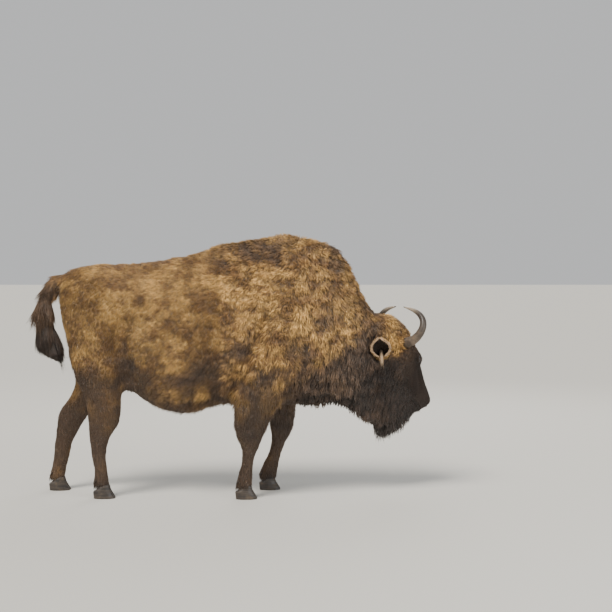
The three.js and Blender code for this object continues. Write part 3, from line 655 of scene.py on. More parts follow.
def face_features(mesh):
    """Opens the nostrils and draws the mouth, the nose pad and the folds by them."""
    points = points_of(mesh)
    normals = normals_of(mesh)
    head = in_head(points)
    move = np.zeros(len(points))

    # mouth: a groove from the front of the lips back to the corner, lower lip drawn in
    s, u, w = head.T
    below = u - mouth_line(s)
    on_lips = ramp(s, 388, 414)
    move -= 9.0 * np.exp(-((below / 4.2) ** 2)) * on_lips
    move += 4.0 * np.exp(-(((below - 12) / 9) ** 2)) * on_lips
    move -= 7.0 * ramp(-below, 3, 16) * on_lips * (1 - ramp(-below, 40, 76))

    # the pad of the nose stands out, with a groove down its middle and into the upper lip
    move += 2.4 * nose_pad(points)
    middle = np.exp(-((w / 3.2) ** 2)) * ramp(s, 505, 515)
    move -= 3.4 * middle * ramp(u, 0, 12) * (1 - ramp(u, 70, 92))

    # folds behind the corner of the mouth, a bone along the nose, veins and the jaw's edge
    for offset, deep in ((-14, 2.6), (-32, 1.8), (-52, 1.2)):
        bend = (s - (MOUTH_CORNER[0] + offset) - 0.25 * (u - MOUTH_CORNER[1])) / 5
        move -= deep * np.exp(-(bend**2)) * np.exp(-(((u + 30) / 36) ** 2)) * (np.abs(w) > 36)
    for offset, deep in ((-26, 1.6), (-44, 1.1)):
        bend = (s - (NOSTRIL["at"][0] + offset) + 0.5 * (u - 70)) / 5
        move -= deep * np.exp(-(bend**2)) * np.exp(-(((u - 62) / 34) ** 2)) * (np.abs(w) > 40)
    on_side = np.abs(w) > 50
    cheek = (u - 58 + 0.16 * (s - 240)) / 16
    move -= 4.0 * np.exp(-(cheek**2)) * ramp(s, 215, 270) * (1 - ramp(s, 400, 450)) * on_side
    ridge = (u - 16 + 0.20 * (s - 240)) / 13
    move += 3.2 * np.exp(-(ridge**2)) * ramp(s, 190, 250) * (1 - ramp(s, 350, 410)) * on_side

    # nostrils: slanting openings with a raised rim
    slant = NOSTRIL["slant"]
    for side in (1, -1):
        target = head_place(NOSTRIL["at"][0], NOSTRIL["at"][1], side * NOSTRIL["at"][2])
        n = int(np.argmin(np.sum((points - target) ** 2, axis=1)))
        centre, axis = points[n], normals[n]
        long_way = unit(-math.cos(slant) * MUZZLE + math.sin(slant) * side * RIGHT - 0.2 * FOREHEAD)
        long_way = unit(long_way - axis * np.dot(long_way, axis))
        short_way = np.cross(axis, long_way)
        offset = (points - centre) / MM
        a = offset @ long_way / NOSTRIL["long"]
        b = (offset @ short_way + 5 * a**2) / NOSTRIL["short"]
        r = np.sqrt(a**2 + b**2)
        near = np.abs(offset @ axis) < 40
        move += np.where(near, -NOSTRIL["deep"] * (1 - ramp(r, 0.35, 1.05)), 0)
        move += np.where(near, 3.2 * np.exp(-(((r - 1.25) / 0.28) ** 2)), 0)

    swell(mesh, move * MM)


def sink_sockets(mesh):
    """Takes the hide down round each eyeball, where the lids cover it."""
    head = in_head(points_of(mesh))
    move = np.zeros(len(head))
    for side in (1, -1):
        offset = head - np.array([EYE_PLACE[0], EYE_PLACE[1], side * EYE_PLACE[2]])
        gap = np.hypot(offset[:, 0], offset[:, 1] * 1.15)
        height = side * offset[:, 2]
        sink = np.clip(height - 2, 0, 40) * (1 - ramp(gap, 22, 35))
        move -= np.where(height > -30, sink, 0)
    swell(mesh, move * MM)


# Rings of an eyelid, outermost first: half length and half height, and how far the ring leaves
# the hide for the eyeball.
LID_RINGS = [
    (41, 36, 0.0),
    (37, 32, 0.0),
    (33.5, 28, 0.0),
    (30, 24.5, 0.05),
    (27, 21.5, 0.15),
    (24.4, 18.6, 0.3),
    (22.2, 15.8, 0.5),
    (20.4, 13.4, 0.72),
    (19.0, 11.4, 0.9),
    (18.0, 10.2, 1.0),
    (17.4, 9.6, 1.0),
]
HAIRY_LID_RINGS = 7
LID_THICKNESS = 2.3
EYE_RADIUS = 20.3
LID_COLUMNS = 48
LID_POINT = 0.24  # how much the opening between the lids narrows towards its corners
EYE_TILT = 0.28  # how far the corner of the eye nearest the nose hangs down


def eye_directions(side):
    """Gaze, length and height directions of an eye."""
    gaze = unit(side * RIGHT + 0.10 * MUZZLE + 0.24 * FOREHEAD)
    length = unit(MUZZLE - gaze * np.dot(MUZZLE, gaze))
    height = np.cross(gaze, length)
    if np.dot(height, FOREHEAD) < 0:
        height = -height
    c, s = math.cos(EYE_TILT), math.sin(EYE_TILT)
    return gaze, c * length - s * height, s * length + c * height


def eyelids(side, hide):
    """Points, faces and zones of the lids round one eye: they leave the hide and hug the ball."""
    gaze, length, height = eye_directions(side)
    rings = []
    for number, (half_long, half_high, freed) in enumerate(LID_RINGS):
        ring = []
        for n in range(LID_COLUMNS):
            angle = TAU * n / LID_COLUMNS
            c, s = math.cos(angle), math.sin(angle)
            pointed = 1 - LID_POINT * abs(c) ** 3 * (half_high < 20)
            # the corner by the nose is drawn out and hangs a little
            x = half_long * c * (1.1 if c > 0 and half_high < 16 else 1.0)
            y = half_high * s * pointed - (1.2 * max(c, 0) ** 4 if half_high < 16 else 0)
            spot = EYE_CENTRES[side] + MM * (x * length + y * height)
            hit = hide.ray_cast(Vector(spot + 0.07 * gaze), Vector(-gaze))
            level = 70 - hit[3] / MM if hit[0] is not None else 8.0
            reach = (EYE_RADIUS + LID_THICKNESS) ** 2 - x * x - y * y
            ball = math.sqrt(max(reach, 4.0)) if reach > -60 else level
            over = 0.5 * (level + ball + math.sqrt((level - ball) ** 2 + 9))
            if reach < -60:
                over = level
            out = (1 - freed) * over + freed * ball
            if s > 0:  # the upper lid's crease and the brow over it
                out -= 1.5 * s * math.exp(-(((half_high - 19) / 2.6) ** 2))
                out += 1.3 * s * math.exp(-(((half_high - 14.5) / 2.2) ** 2))
                out += 2.4 * s * math.exp(-(((half_high - 26) / 4.0) ** 2))
            else:
                out += 0.9 * s * math.exp(-(((half_high - 16) / 2.0) ** 2))
                out -= 0.8 * s * math.exp(-(((half_high - 21) / 2.4) ** 2))
            out -= 1.6 if number == 0 else 0.0
            ring.append(EYE_CENTRES[side] + MM * (x * length + y * height + out * gaze))
        rings.append(ring)
    # the margin turns in and dips behind the ball's front
    margin = np.array(rings[-1])
    for inward, share in ((EYE_RADIUS + 1.2, 0.985), (EYE_RADIUS - 0.8, 0.985), (12.0, 1.0)):
        arms = unit(margin - EYE_CENTRES[side])
        rings.append(list(EYE_CENTRES[side] + MM * inward * share * arms))
    # the last ring meets the first inside the head
    points = np.array([p for ring in rings for p in ring])
    faces = outward(points, bands(len(rings), LID_COLUMNS, closed=True))
    ring = np.arange(len(points)) // LID_COLUMNS
    return points, faces, np.where(ring < HAIRY_LID_RINGS, ZONE_LID_HAIR, ZONE_LID)


# Ears in the head's directions: the right one laid back, its cup to the side, the left one out.
EAR_AIM = {
    1: {"base": (30, -188, 108), "tip": (-128, -214, 188), "opening": (0.42, -0.63, 0.65)},
    -1: {"base": (-34, -150, -112), "tip": (-50, -100, -320), "opening": (0.62, 0.5, -0.35)},
}
EAR = {
    "half_width": [26, 43, 57, 62, 56, 40, 14],
    "half_depth": [24, 35, 43, 45, 40, 27, 9],
    "wall": 5.0,
    "rows": 24,
    "columns": 34,
    "rim_from": 0.22,  # share of the height from which the edges are rim
    "tip_from": 0.93,  # and from which all of it is
}


def ear_frame(side):
    aim = EAR_AIM[side]
    base = head_place(*aim["base"])
    axis = head_place(*aim["tip"]) - base
    opening = np.array(aim["opening"]) @ HEAD_AXES
    opening = unit(opening - axis * np.dot(opening, axis) / np.dot(axis, axis))
    across = unit(np.cross(axis, opening))
    return base, axis, opening, across


def ear_shell(side):
    """A cupped ear: a closed C-shaped wall that opens out from the base and ends in a soft tip."""
    base, axis, opening, across = ear_frame(side)
    stations = np.linspace(0, 1, len(EAR["half_width"]))
    rings = []
    for row in range(EAR["rows"] + 1):
        t = row / EAR["rows"]
        wide = np.interp(t, stations, EAR["half_width"])
        deep = np.interp(t, stations, EAR["half_depth"])
        spread = math.radians(172 - 78 * float(ramp(np.array(t), 0.12, 0.62)))
        wall = min(EAR["wall"], 0.4 * deep)
        tip_in = 1 - 0.25 * ramp(np.array(t), 0.85, 1.0)
        ring = []
        for layer, inset in (("out", 0.0), ("in", wall)):
            angles = np.linspace(-spread, spread, EAR["columns"])
            if layer == "in":
                angles = angles[::-1]
            for angle in angles:
                side_way = (wide - inset) * math.sin(angle) * tip_in
                # the cup's rims curl a little towards each other
                back_way = -(deep - inset) * math.cos(angle) * (0.9 + 0.1 * math.cos(angle))
                ripple = 1.2 * math.sin(5 * angle) * t * (layer == "in")
                ring.append(
                    base
                    + axis * t
                    + MM * ((back_way + ripple + 6 * t) * opening + side_way * across)
                )
        rings.append(ring)
    points, faces = tube(rings)
    return points, faces, ear_zone(len(points))


ZONE_BODY, ZONE_LID_HAIR, ZONE_LID, ZONE_EAR_OUT, ZONE_EAR_IN, ZONE_EAR_RIM = range(6)


def ear_zone(count):
    """Outside, inside or rim, for each point of an ear in the order that ear_shell makes them."""
    columns = EAR["columns"]
    number = np.arange(count)
    on_wall = number < 2 * columns * (EAR["rows"] + 1)
    height = np.where(on_wall, number // (2 * columns) / EAR["rows"], 0)
    inside = on_wall & (number % (2 * columns) >= columns)
    column = number % columns
    edge = on_wall & ((column < 2) | (column >= columns - 2))
    zone = np.where(inside, ZONE_EAR_IN, ZONE_EAR_OUT)
    rim = (edge & (height > EAR["rim_from"])) | (height > EAR["tip_from"])
    return np.where(rim, ZONE_EAR_RIM, zone)


def make_skin():
    """The whole skin: one sunk shell with its face worked in, lids and ears joined on."""
    mesh, surface = flesh_shell()
    sunk_shell(mesh, surface)
    carve_hollows(mesh)
    refine(mesh, [FACE_FINE], False)
    soften_face(mesh, 3)
    refine(mesh, FACE_FINEST, True)
    soften_face(mesh, 3)
    face_features(mesh)
    hide = search_tree(points_of(mesh), faces_of(mesh))
    sink_sockets(mesh)
    shells = [(points_of(mesh), faces_of(mesh), np.full(len(mesh.vertices), ZONE_BODY))]
    bpy.data.meshes.remove(mesh)
    shells += [eyelids(side, hide) for side in (1, -1)]
    shells += [ear_shell(side) for side in (1, -1)]
    points, faces = joined([shell[:2] for shell in shells])
    skin = mesh_object("skin", points, faces, smooth=True)
    return skin, np.concatenate([zone for _, _, zone in shells])


def bareness(points):
    """1 where no hair grows: nose pad, nostrils and lips."""
    s, u, w = in_head(points).T
    lips = np.exp(-(((u - mouth_line(s)) / 5) ** 2)) * ramp(s, 390, 405)
    wings = np.zeros(len(points))
    for side in (1, -1):
        gap = np.sqrt(
            ((s - NOSTRIL["at"][0]) / 24) ** 2
            + ((u - NOSTRIL["at"][1]) / 26) ** 2
            + ((w - side * NOSTRIL["at"][2]) / 30) ** 2
        )
        wings = np.maximum(wings, 1 - ramp(gap, 0.75, 1.05))
    return np.clip(np.maximum.reduce([nose_pad(points), lips, wings]), 0, 1)


def mark_skin(skin, zone):
    """Stores on the skin what its material reads: the same shares of dark and pale as the coat."""
    points = points_of(skin.data)
    coat = coat_at(points)
    dark, pale = coat["dark"], coat["pale"]
    ears = np.isin(zone, (ZONE_EAR_OUT, ZONE_EAR_IN, ZONE_EAR_RIM))
    dark = np.where(ears, 0.35, dark)
    pale = np.where(ears, 0.5, pale)
    dark = np.where(zone == ZONE_EAR_IN, 0.9, dark)
    pale = np.where(zone == ZONE_EAR_IN, 0.0, pale)
    dark = np.where(zone == ZONE_EAR_RIM, 0.1, dark)
    pale = np.where(zone == ZONE_EAR_RIM, 1.0, pale)
    bare = np.where(zone == ZONE_LID, 1.0, bareness(points) * (zone == ZONE_BODY))
    attach(skin.data, "dark_hair", dark)
    attach(skin.data, "pale_hair", pale)
    attach(skin.data, "bare", bare)
    attach(skin.data, "along", np.full(len(points), 0.25))
    attach(skin.data, "shade", np.full(len(points), 0.5))


def unwrap(obj):
    """Lays the skin's own shape out flat in the map OFBake."""
    obj.data.uv_layers.new(name="OFBake")
    bpy.context.view_layer.objects.active = obj
    for other in bpy.context.selected_objects:
        other.select_set(False)
    obj.select_set(True)
    bpy.ops.object.mode_set(mode="EDIT")
    bpy.ops.mesh.select_all(action="SELECT")
    bpy.ops.uv.smart_project(angle_limit=math.radians(72), island_margin=0.002)
    bpy.ops.object.mode_set(mode="OBJECT")
    obj.select_set(False)


# ---------------------------------------------------------------- tufts


class Ground:
    """The skin as arrays: where tufts can root, and what the skin is like there."""

    def __init__(self, skin, zone):
        mesh = skin.data
        self.points = points_of(mesh)
        self.normals = normals_of(mesh)
        self.faces = triangles_of(mesh)
        loops = read_rows(mesh.loop_triangles, "loops", 3, np.int32)
        self.maps = read_rows(mesh.uv_layers["OFBake"].uv, "vector", 2)[loops]
        corners = self.points[self.faces]
        crossed = np.cross(corners[:, 1] - corners[:, 0], corners[:, 2] - corners[:, 0])
        self.areas = np.linalg.norm(crossed, axis=1) / 2
        self.middles = corners.mean(axis=1)
        self.zone = zone[self.faces].max(axis=1)
        self.bare = bareness(self.middles)

    def scatter(self, weight, count, rng):
        """Roots spread evenly over the faces by area times weight."""
        share = np.cumsum(self.areas * weight)
        spots = (np.arange(count) + rng.random(count)) / count * share[-1]
        face = np.minimum(np.searchsorted(share, spots), len(share) - 1)
        a, b = rng.random(count), rng.random(count)
        over = a + b > 1
        a, b = np.where(over, 1 - a, a), np.where(over, 1 - b, b)
        mix = np.column_stack([1 - a - b, a, b])
        roots = np.einsum("nk,nkd->nd", mix, self.points[self.faces[face]])
        normals = unit(np.einsum("nk,nkd->nd", mix, self.normals[self.faces[face]]))
        maps = np.einsum("nk,nkd->nd", mix, self.maps[face])
        return roots, normals, maps

    def nearest_map(self, spot):
        """Place in the map OFBake of the face nearest to a spot."""
        near = int(np.argmin(np.linalg.norm(self.middles - spot, axis=1)))
        return self.maps[near].mean(axis=0)


def nearest_lock(points, size, seed):
    """Centre of the lock each root belongs to: the nearest jittered point of a lattice."""
    scaled = points / size
    cell = np.floor(scaled).astype(np.int64)
    best = np.full(len(points), np.inf)
    centre = np.zeros_like(points)
    number = np.zeros(len(points))
    for dx in (-1, 0, 1):
        for dy in (-1, 0, 1):
            for dz in (-1, 0, 1):
                near = cell + np.array([dx, dy, dz])
                jitter = np.column_stack([lattice_value(near, seed + k) for k in range(3)])
                spot = near + 0.5 + 0.8 * (jitter - 0.5)
                gap = np.sum((spot - scaled) ** 2, axis=1)
                closer = gap < best
                best = np.where(closer, gap, best)
                centre[closer] = spot[closer]
                number = np.where(closer, lattice_value(near, seed + 7), number)
    return centre * size, number


MAP_PATCH = 0.003
STATIONS = {1: [0.0], 2: [0.0, 0.5], 3: [0.0, 0.36, 0.72], 4: [0.0, 0.27, 0.54, 0.8]}
PROFILES = {1: [1.0], 2: [0.8, 1.0], 3: [0.75, 1.0, 0.72], 4: [0.7, 1.0, 0.85, 0.55]}


def tuft_faces(rings):
    """Faces of one tuft: its root, its three sides ring by ring, and its tip."""
    last = 3 * (rings - 1)
    tip = last + 3
    faces = [(0, 2, 1)]
    for a in range(0, last, 3):
        for i, j in ((0, 1), (1, 2), (2, 0)):
            faces += [(a + i, a + j, a + 3 + j), (a + i, a + 3 + j, a + 3 + i)]
    faces += [(last + i, last + j, tip) for i, j in ((0, 1), (1, 2), (2, 0))]
    return faces


def build_tufts(name, roots, maps, frame_of, shape, looks):
    """Closed three-sided tapering tufts from arrays, all in one mesh.

    frame_of: normal, tangent. shape: length, height, width, curl, turns, phase, pull, rings.
    """
    normal, tangent = frame_of
    side = np.cross(tangent, normal)
    count, rings = len(roots), shape["rings"]
    stations = STATIONS[rings]
    length, height, width = shape["length"], shape["height"], shape["width"]
    run = np.sqrt(np.maximum(length**2 - height**2, (0.3 * length) ** 2))
    per = 3 * rings + 1
    points = np.empty((count, per, 3))
    along = np.empty((count, per))
    across = np.empty((count, per))

    def centre(f):
        rise = 1 - (1 - f) ** 1.7
        swing = np.sin(TAU * shape["turns"] * f + shape["phase"]) - np.sin(shape["phase"])
        return (
            roots
            - normal * (0.0015 * (1 - f))
            + tangent * (run * f)[:, None]
            + normal * (height * rise)[:, None]
            + side * (shape["curl"] * swing * f**0.5)[:, None]
            + shape["pull"] * f**1.3
        )

    profile = PROFILES[rings]
    for k, f in enumerate(stations):
        middle = centre(f)
        half = (0.5 * width * profile[k])[:, None]
        points[:, 3 * k] = middle - side * half
        points[:, 3 * k + 1] = middle + side * half
        points[:, 3 * k + 2] = middle + normal * half * 0.75
        along[:, 3 * k : 3 * k + 3] = f
        across[:, 3 * k : 3 * k + 3] = (0.0, 1.0, 0.5)
    points[:, -1] = centre(1.0)
    along[:, -1] = 1.0
    across[:, -1] = 0.5

    faces = np.array(outward(points[0], tuft_faces(rings)))
    mesh = bpy.data.meshes.new(name)
    total = count * len(faces)
    mesh.vertices.add(count * per)
    mesh.vertices.foreach_set("co", points.astype(np.float32).ravel())
    corner = (faces[None] + (np.arange(count) * per)[:, None, None]).reshape(-1)
    mesh.loops.add(total * 3)
    mesh.loops.foreach_set("vertex_index", corner.astype(np.int32))
    mesh.polygons.add(total)
    mesh.polygons.foreach_set("loop_start", np.arange(0, total * 3, 3, dtype=np.int32))
    smooth_faces(mesh)
    mesh.update(calc_edges=True)

    patch = maps[:, None, :] + MAP_PATCH * np.dstack(
        [across - 0.5, along - 0.5 + 0.18 * (across == 0.5)]
    )
    lay_map(mesh, "OFBake", patch.reshape(-1, 2)[corner])
    strand = np.dstack([across + looks["number"][:, None] * 37, along * length[:, None] * 20])
    lay_map(mesh, "strand", strand.reshape(-1, 2)[corner])
    attach(mesh, "along", along.ravel())
    for key in ("dark_hair", "pale_hair", "shade"):
        attach(mesh, key, np.repeat(looks[key], per))
    return put_in_scene(name, mesh)


HORN_BASES = [head_place(2, 4, 120 * side) for side in (1, -1)]


def tuft_weight(ground):
    """Where no tuft may root: bare skin, lids, the eyes' surroundings and the horns' bases."""
    weight = 1 - ramp(ground.bare, 0.25, 0.6)
    weight = np.where(ground.zone <= ZONE_LID_HAIR, weight, 0)
    for centre in EYE_CENTRES.values():
        gap = np.linalg.norm(ground.middles - centre, axis=1)
        weight *= np.where(ground.zone == ZONE_BODY, ramp(gap, 0.036, 0.040), 1)
    for centre in HORN_BASES:
        gap = np.linalg.norm(ground.middles - centre, axis=1)
        weight *= ramp(gap, 0.022, 0.026) * (1 + 2.5 * np.exp(-((gap / 0.05) ** 2)))
    return weight


def coat_piece(name, ground, weight, count, seed, style):
    """A stretch of coat: tufts along the lie of the hair, gathered into locks.

    style: rings, lock in metres, how much taller than wide a lock is, gather, looseness.
    """
    rng = np.random.default_rng(seed)
    roots, normal, maps = ground.scatter(weight, count, rng)
    coat = coat_at(roots)
    lock, tall, loose = style["lock"], style["tall"], style["loose"]
    wander = np.column_stack([mottle(roots, 0.09, seed + k) for k in range(3)])
    lie = coat["lie"] + 0.45 * loose * wander * (0.35 + coat["curl"])[:, None]
    lie = lie + 0.2 * loose * rng.normal(size=lie.shape) * (0.5 + coat["curl"])[:, None]
    # hair leans against the horns' bases and stands up round them
    by_horn = np.zeros(count)
    for base in HORN_BASES:
        way = base - roots
        near = np.exp(-((np.linalg.norm(way, axis=1) / 0.052) ** 2))
        lie = lie * (1 - 0.4 * near)[:, None] + 0.45 * unit(way) * near[:, None]
        by_horn = np.maximum(by_horn, near)
    tangent = unit(level_with(lie, normal) + 1e-4)
    tangent = unit(level_with(tangent, normal))

    squeeze = np.array([1.0, 1.0, 1 / tall])
    centre, lock_number = nearest_lock(roots * squeeze, lock, seed)
    towards = level_with((centre - roots * squeeze) / squeeze, normal)
    off_centre = np.linalg.norm(towards * squeeze, axis=1) / (0.6 * lock)
    off_centre = np.clip(off_centre, 0, 1.2)
    length = coat["length"] * rng.uniform(0.72, 1.18, count) * (0.8 + 0.4 * lock_number)
    if name == "coat_tail":
        length = np.minimum(length, tail_room(roots))
    height = coat["depth"] * rng.uniform(0.45, 1.02, count) * (1.0 - 0.5 * off_centre)
    height *= 0.75 + 0.4 * lock_number
    length = np.maximum(length * (1 + 0.4 * by_horn), 0.050 * by_horn)
    height = height * (1 - by_horn) + 0.88 * length * by_horn
    # long hair on the underside hangs straight down
    hang = ramp(-normal[:, 2], 0.25, 0.85) * ramp(length, 0.04, 0.08)
    length = length * (1 - 0.45 * hang)
    height = height * (1 - hang) + 0.9 * length * hang
    shape = {
        "length": length,
        "height": np.minimum(height * np.maximum(style["rise"], hang), 0.9 * length),
        "width": coat["width"] * rng.uniform(0.7, 1.15, count),
        "curl": coat["curl"] * coat["width"] * rng.uniform(0.4, 1.3, count),
        "turns": rng.uniform(0.5, 1.2, count),
        "phase": rng.uniform(0, TAU, count),
        "pull": towards * squeeze * style["gather"],
        "rings": style["rings"],
    }
    # tufts at a lock's edge are painted darker and those on a clump's top lighter, painted shade
    # and light; the lock's own number and the random part vary the tone
    shade = 0.30 * (lock_number - 0.5) - 0.34 * (off_centre - 0.5)
    shade = 0.5 + shade * style["gather"] / 0.6 + 0.16 * coat["clump"]
    shade += 0.10 * rng.normal(size=count)
    looks = {
        "number": rng.random(count),
        "shade": np.clip(shade, 0, 1),
        "dark_hair": coat["dark"],
        "pale_hair": coat["pale"],
    }
    return build_tufts(name, roots, maps, (normal, tangent), shape, looks)


def tail_room(roots):
    """How long a hair of the tail may be before it hangs out of the brush's slanting end."""
    x, _, z = in_body(roots).T
    end = 1005 - 0.52 * (x + 1330)
    return np.clip(1.02 * (z - end) + 40, 55, 400) * MM


COAT_SHARE = 1.0

# Each stretch of coat: how many tufts, rings per tuft, a lock's width in mm, how much taller than
# wide it is, how far tips gather, looseness, rise, a slot name that nothing reads and the nodes it
# covers.
FLANK = (28000, 1, 28, 1.2, 0.55, 1.1, 1.0, "coat", ["trunk"])
HUMP = (13000, 2, 32, 1.3, 0.7, 1.2, 1.0, "coat", ["trunk"])
NECK = (8600, 3, 36, 2.0, 0.75, 0.9, 1.0, "coat", ["neck", "trunk"])
COATS = {
    "coat_rump": (30000, 1, 27, 1.3, 0.5, 1.0, 1.0, "coat", ["trunk"]),
    "coat_flank_r": FLANK,
    "coat_flank_l": FLANK,
    "coat_hump_r": HUMP,
    "coat_hump_l": HUMP,
    "coat_neck_r": NECK,
    "coat_neck_l": NECK,
    "coat_forelegs": (26000, 1, 24, 1.8, 0.25, 0.7, 1.0, "dark_coat", ["foreleg_r", "foreleg_l"]),
    "coat_hindlegs": (26000, 1, 20, 1.6, 0.15, 0.6, 1.0, "dark_coat", ["hindleg_r", "hindleg_l"]),
    "coat_head": (11000, 2, 26, 1.2, 0.6, 1.0, 1.0, "dark_coat", ["head"]),
    "coat_face": (18000, 1, 14, 1.2, 0.12, 0.6, 1.0, "dark_coat", ["head"]),
    "coat_beard": (6400, 3, 34, 2.0, 0.75, 0.5, 0.6, "dark_coat", ["beard"]),
    "coat_tail": (7400, 3, 26, 3.0, 0.4, 0.3, 0.5, "tail_hair", ["tail", "tail_brush"]),
}
STYLE_KEYS = ("rings", "lock", "tall", "gather", "loose", "rise")
SEEDS = {"coats": 11, "ears": 71, "collars": 77, "lashes": 83, "whiskers": 89}


def region_masks(ground):
    """Which faces of the skin each stretch of coat grows on."""
    x, y, z = in_body(ground.middles).T
    s, u, _ = in_head(ground.middles).T
    head = (s > -190) & (x > 880) & (u > -330 - s * 0.2) & (x + 0.3 * y > 940)
    beard = (x > 860) & (z < 560) & (s < 440)
    beard |= (x > 860) & (z < 700) & (u < -130) & (s < 400)
    tail = (x < -1060) & (z > 830) & ((x < -1150) | (z > 1440)) & (np.abs(y) < 75)
    legs = (z < 600) & (np.abs(y) > 60) & ~head & (x < 620)
    fore = legs & (x > -60)
    fore |= (z < 720) & (z > 560) & (x > -20) & (x < 520) & (np.abs(y) > 95)
    face = head & (coat_at(ground.middles)["length"] < 0.024)
    hind = legs & (x < -655)
    hind |= (z < 760) & (x < -655) & (np.abs(y) > 50)
    masks = {"coat_tail": tail, "coat_beard": beard & ~tail}
    taken = masks["coat_tail"] | masks["coat_beard"]
    for name, mask in (
        ("coat_face", face),
        ("coat_head", head),
        ("coat_forelegs", fore),
        ("coat_hindlegs", hind),
        ("coat_neck_r", (x > 470) & (y < 0)),
        ("coat_neck_l", (x > 470) & (y >= 0)),
        ("coat_hump_r", (x > -40) & (y < 0)),
        ("coat_hump_l", (x > -40) & (y >= 0)),
        ("coat_rump", x < -640),
        ("coat_flank_r", y < 0),
        ("coat_flank_l", y >= 0),
    ):
        masks[name] = mask & ~taken
        taken = taken | mask
    return masks


def make_coats(ground):
    """Every stretch of body coat."""
    open_to_hair = tuft_weight(ground)
    masks = region_masks(ground)
    figures = coat_at(ground.middles)
    # finer tufts stand closer together
    density = 1 / np.clip(figures["width"] * figures["length"], 2e-5, 5e-4)
    density = density / np.median(density)
    pieces = {}
    for number, (name, (count, *figures_of, slot, nodes)) in enumerate(COATS.items()):
        style = dict(zip(STYLE_KEYS, figures_of))
        style["lock"] *= MM
        weight = open_to_hair * masks[name] * np.clip(density, 0.5, 6)
        seed = SEEDS["coats"] + number
        piece = coat_piece(name, ground, weight, int(count * COAT_SHARE), seed, style)
        pieces[name] = (piece, slot, nodes)
    return pieces


def loose_tufts(name, rng, roots, maps, frame_of, sizes, looks):
    """Tufts that belong to no lock, each a little unlike the next.

    sizes: length, height, width, curl and the range of the height. looks: middle and spread of
    the shade, dark and pale shares.
    """
    count = len(roots)
    length, height, width, curl, heights = sizes
    middle, spread, dark, pale = looks
    shape = {
        "length": length * rng.uniform(0.6, 1.15, count),
        "height": height * rng.uniform(*heights, count),
        "width": width * rng.uniform(0.7, 1.2, count),
        "curl": curl * rng.uniform(0, 1, count),
        "turns": rng.uniform(0.4, 1.0, count),
        "phase": rng.uniform(0, TAU, count),
        "pull": np.zeros((count, 3)),
        "rings": 2,
    }
    looks = {
        "number": rng.random(count),
        "shade": np.clip(middle + spread * rng.normal(size=count), 0, 1),
        "dark_hair": dark,
        "pale_hair": pale,
    }
    return build_tufts(name, roots, maps, frame_of, shape, looks)


# Hair of the ears: zone, tufts, length, rise and width in mm, dark and pale shares.
EAR_HAIR = [
    (ZONE_EAR_OUT, 2200, 26, 8, 3.2, 0.30, 0.55),
    (ZONE_EAR_RIM, 2600, 19, 5, 1.9, 0.05, 1.0),
    (ZONE_EAR_IN, 420, 24, 7, 2.2, 0.85, 0.0),
]
PALE_LOCK = {"count": 60, "high": 0.30, "long": 104, "spread": 9}


def make_ear_coat(ground):
    """Ear hair: short outside, a pale fringe that fans out from the rim, a few hairs in the cup
    and one long pale lock that hangs from the right ear."""
    rng = np.random.default_rng(SEEDS["ears"])
    frames = {side: ear_frame(side) for side in (1, -1)}
    parts = []
    for kind, count, long, rise, wide, dark, pale in EAR_HAIR:
        weight = (ground.zone == kind).astype(float)
        count = int(count * COAT_SHARE)
        roots, normal, maps = ground.scatter(weight, count, rng)
        side = np.where(in_head(roots)[:, 2] > 0, 1, -1)
        axis = np.array([unit(frames[k][1]) for k in side])
        opening = np.array([frames[k][2] for k in side])
        base = np.array([frames[k][0] for k in side])
        away = level_with(roots - base, axis)
        away = unit(away - 0.8 * opening * np.sum(away * opening, axis=1)[:, None])
        lie = 0.6 * axis + 0.3 * rng.normal(size=roots.shape)
        if kind == ZONE_EAR_RIM:
            lie = 0.5 * axis + 0.9 * away + 0.5 * opening + 0.2 * rng.normal(size=roots.shape)
            normal = unit(normal + 0.7 * away)
        tangent = unit(level_with(lie, normal))
        figures = np.tile([long * MM, rise * MM, wide * MM, dark, pale, 0.002], (count, 1))
        parts.append((roots, maps, normal, tangent, figures))

    base, axis, opening, _ = frames[1]
    count = PALE_LOCK["count"]
    spot = base + PALE_LOCK["high"] * axis - 0.012 * opening
    roots = spot + PALE_LOCK["spread"] * MM * rng.normal(size=(count, 3)) * 0.5
    down = unit(opening * 0.5 + np.array([0.1, 0.0, -1.0]))
    tangent = unit(down + 0.06 * rng.normal(size=(count, 3)))
    normal = opening - tangent * (tangent @ opening)[:, None]
    maps = np.tile(ground.nearest_map(spot), (count, 1))
    lock = [PALE_LOCK["long"] * MM, 0.030, 0.0030, 0.0, 1.0, 0.003]
    parts.append((roots, maps, unit(normal), tangent, np.tile(lock, (count, 1))))

    roots, maps, normal, tangent, figures = (np.vstack([p[k] for p in parts]) for k in range(5))
    length, height, width, dark, pale, curl = figures.T
    sizes = (length, height, width, curl, (0.5, 1.1))
    looks = (0.55, 0.15, dark, pale)
    return loose_tufts("coat_ears", rng, roots, maps, (normal, tangent), sizes, looks)


# Millimetres from the head's middle plane out along the horn, round its axis from low to high.
COLLAR = {"count": 460, "from": 92, "to": 134, "radius": 36.5, "long": 48}
COLLAR_AXIS = ((2, -2, 116), (-3, 14, 172))


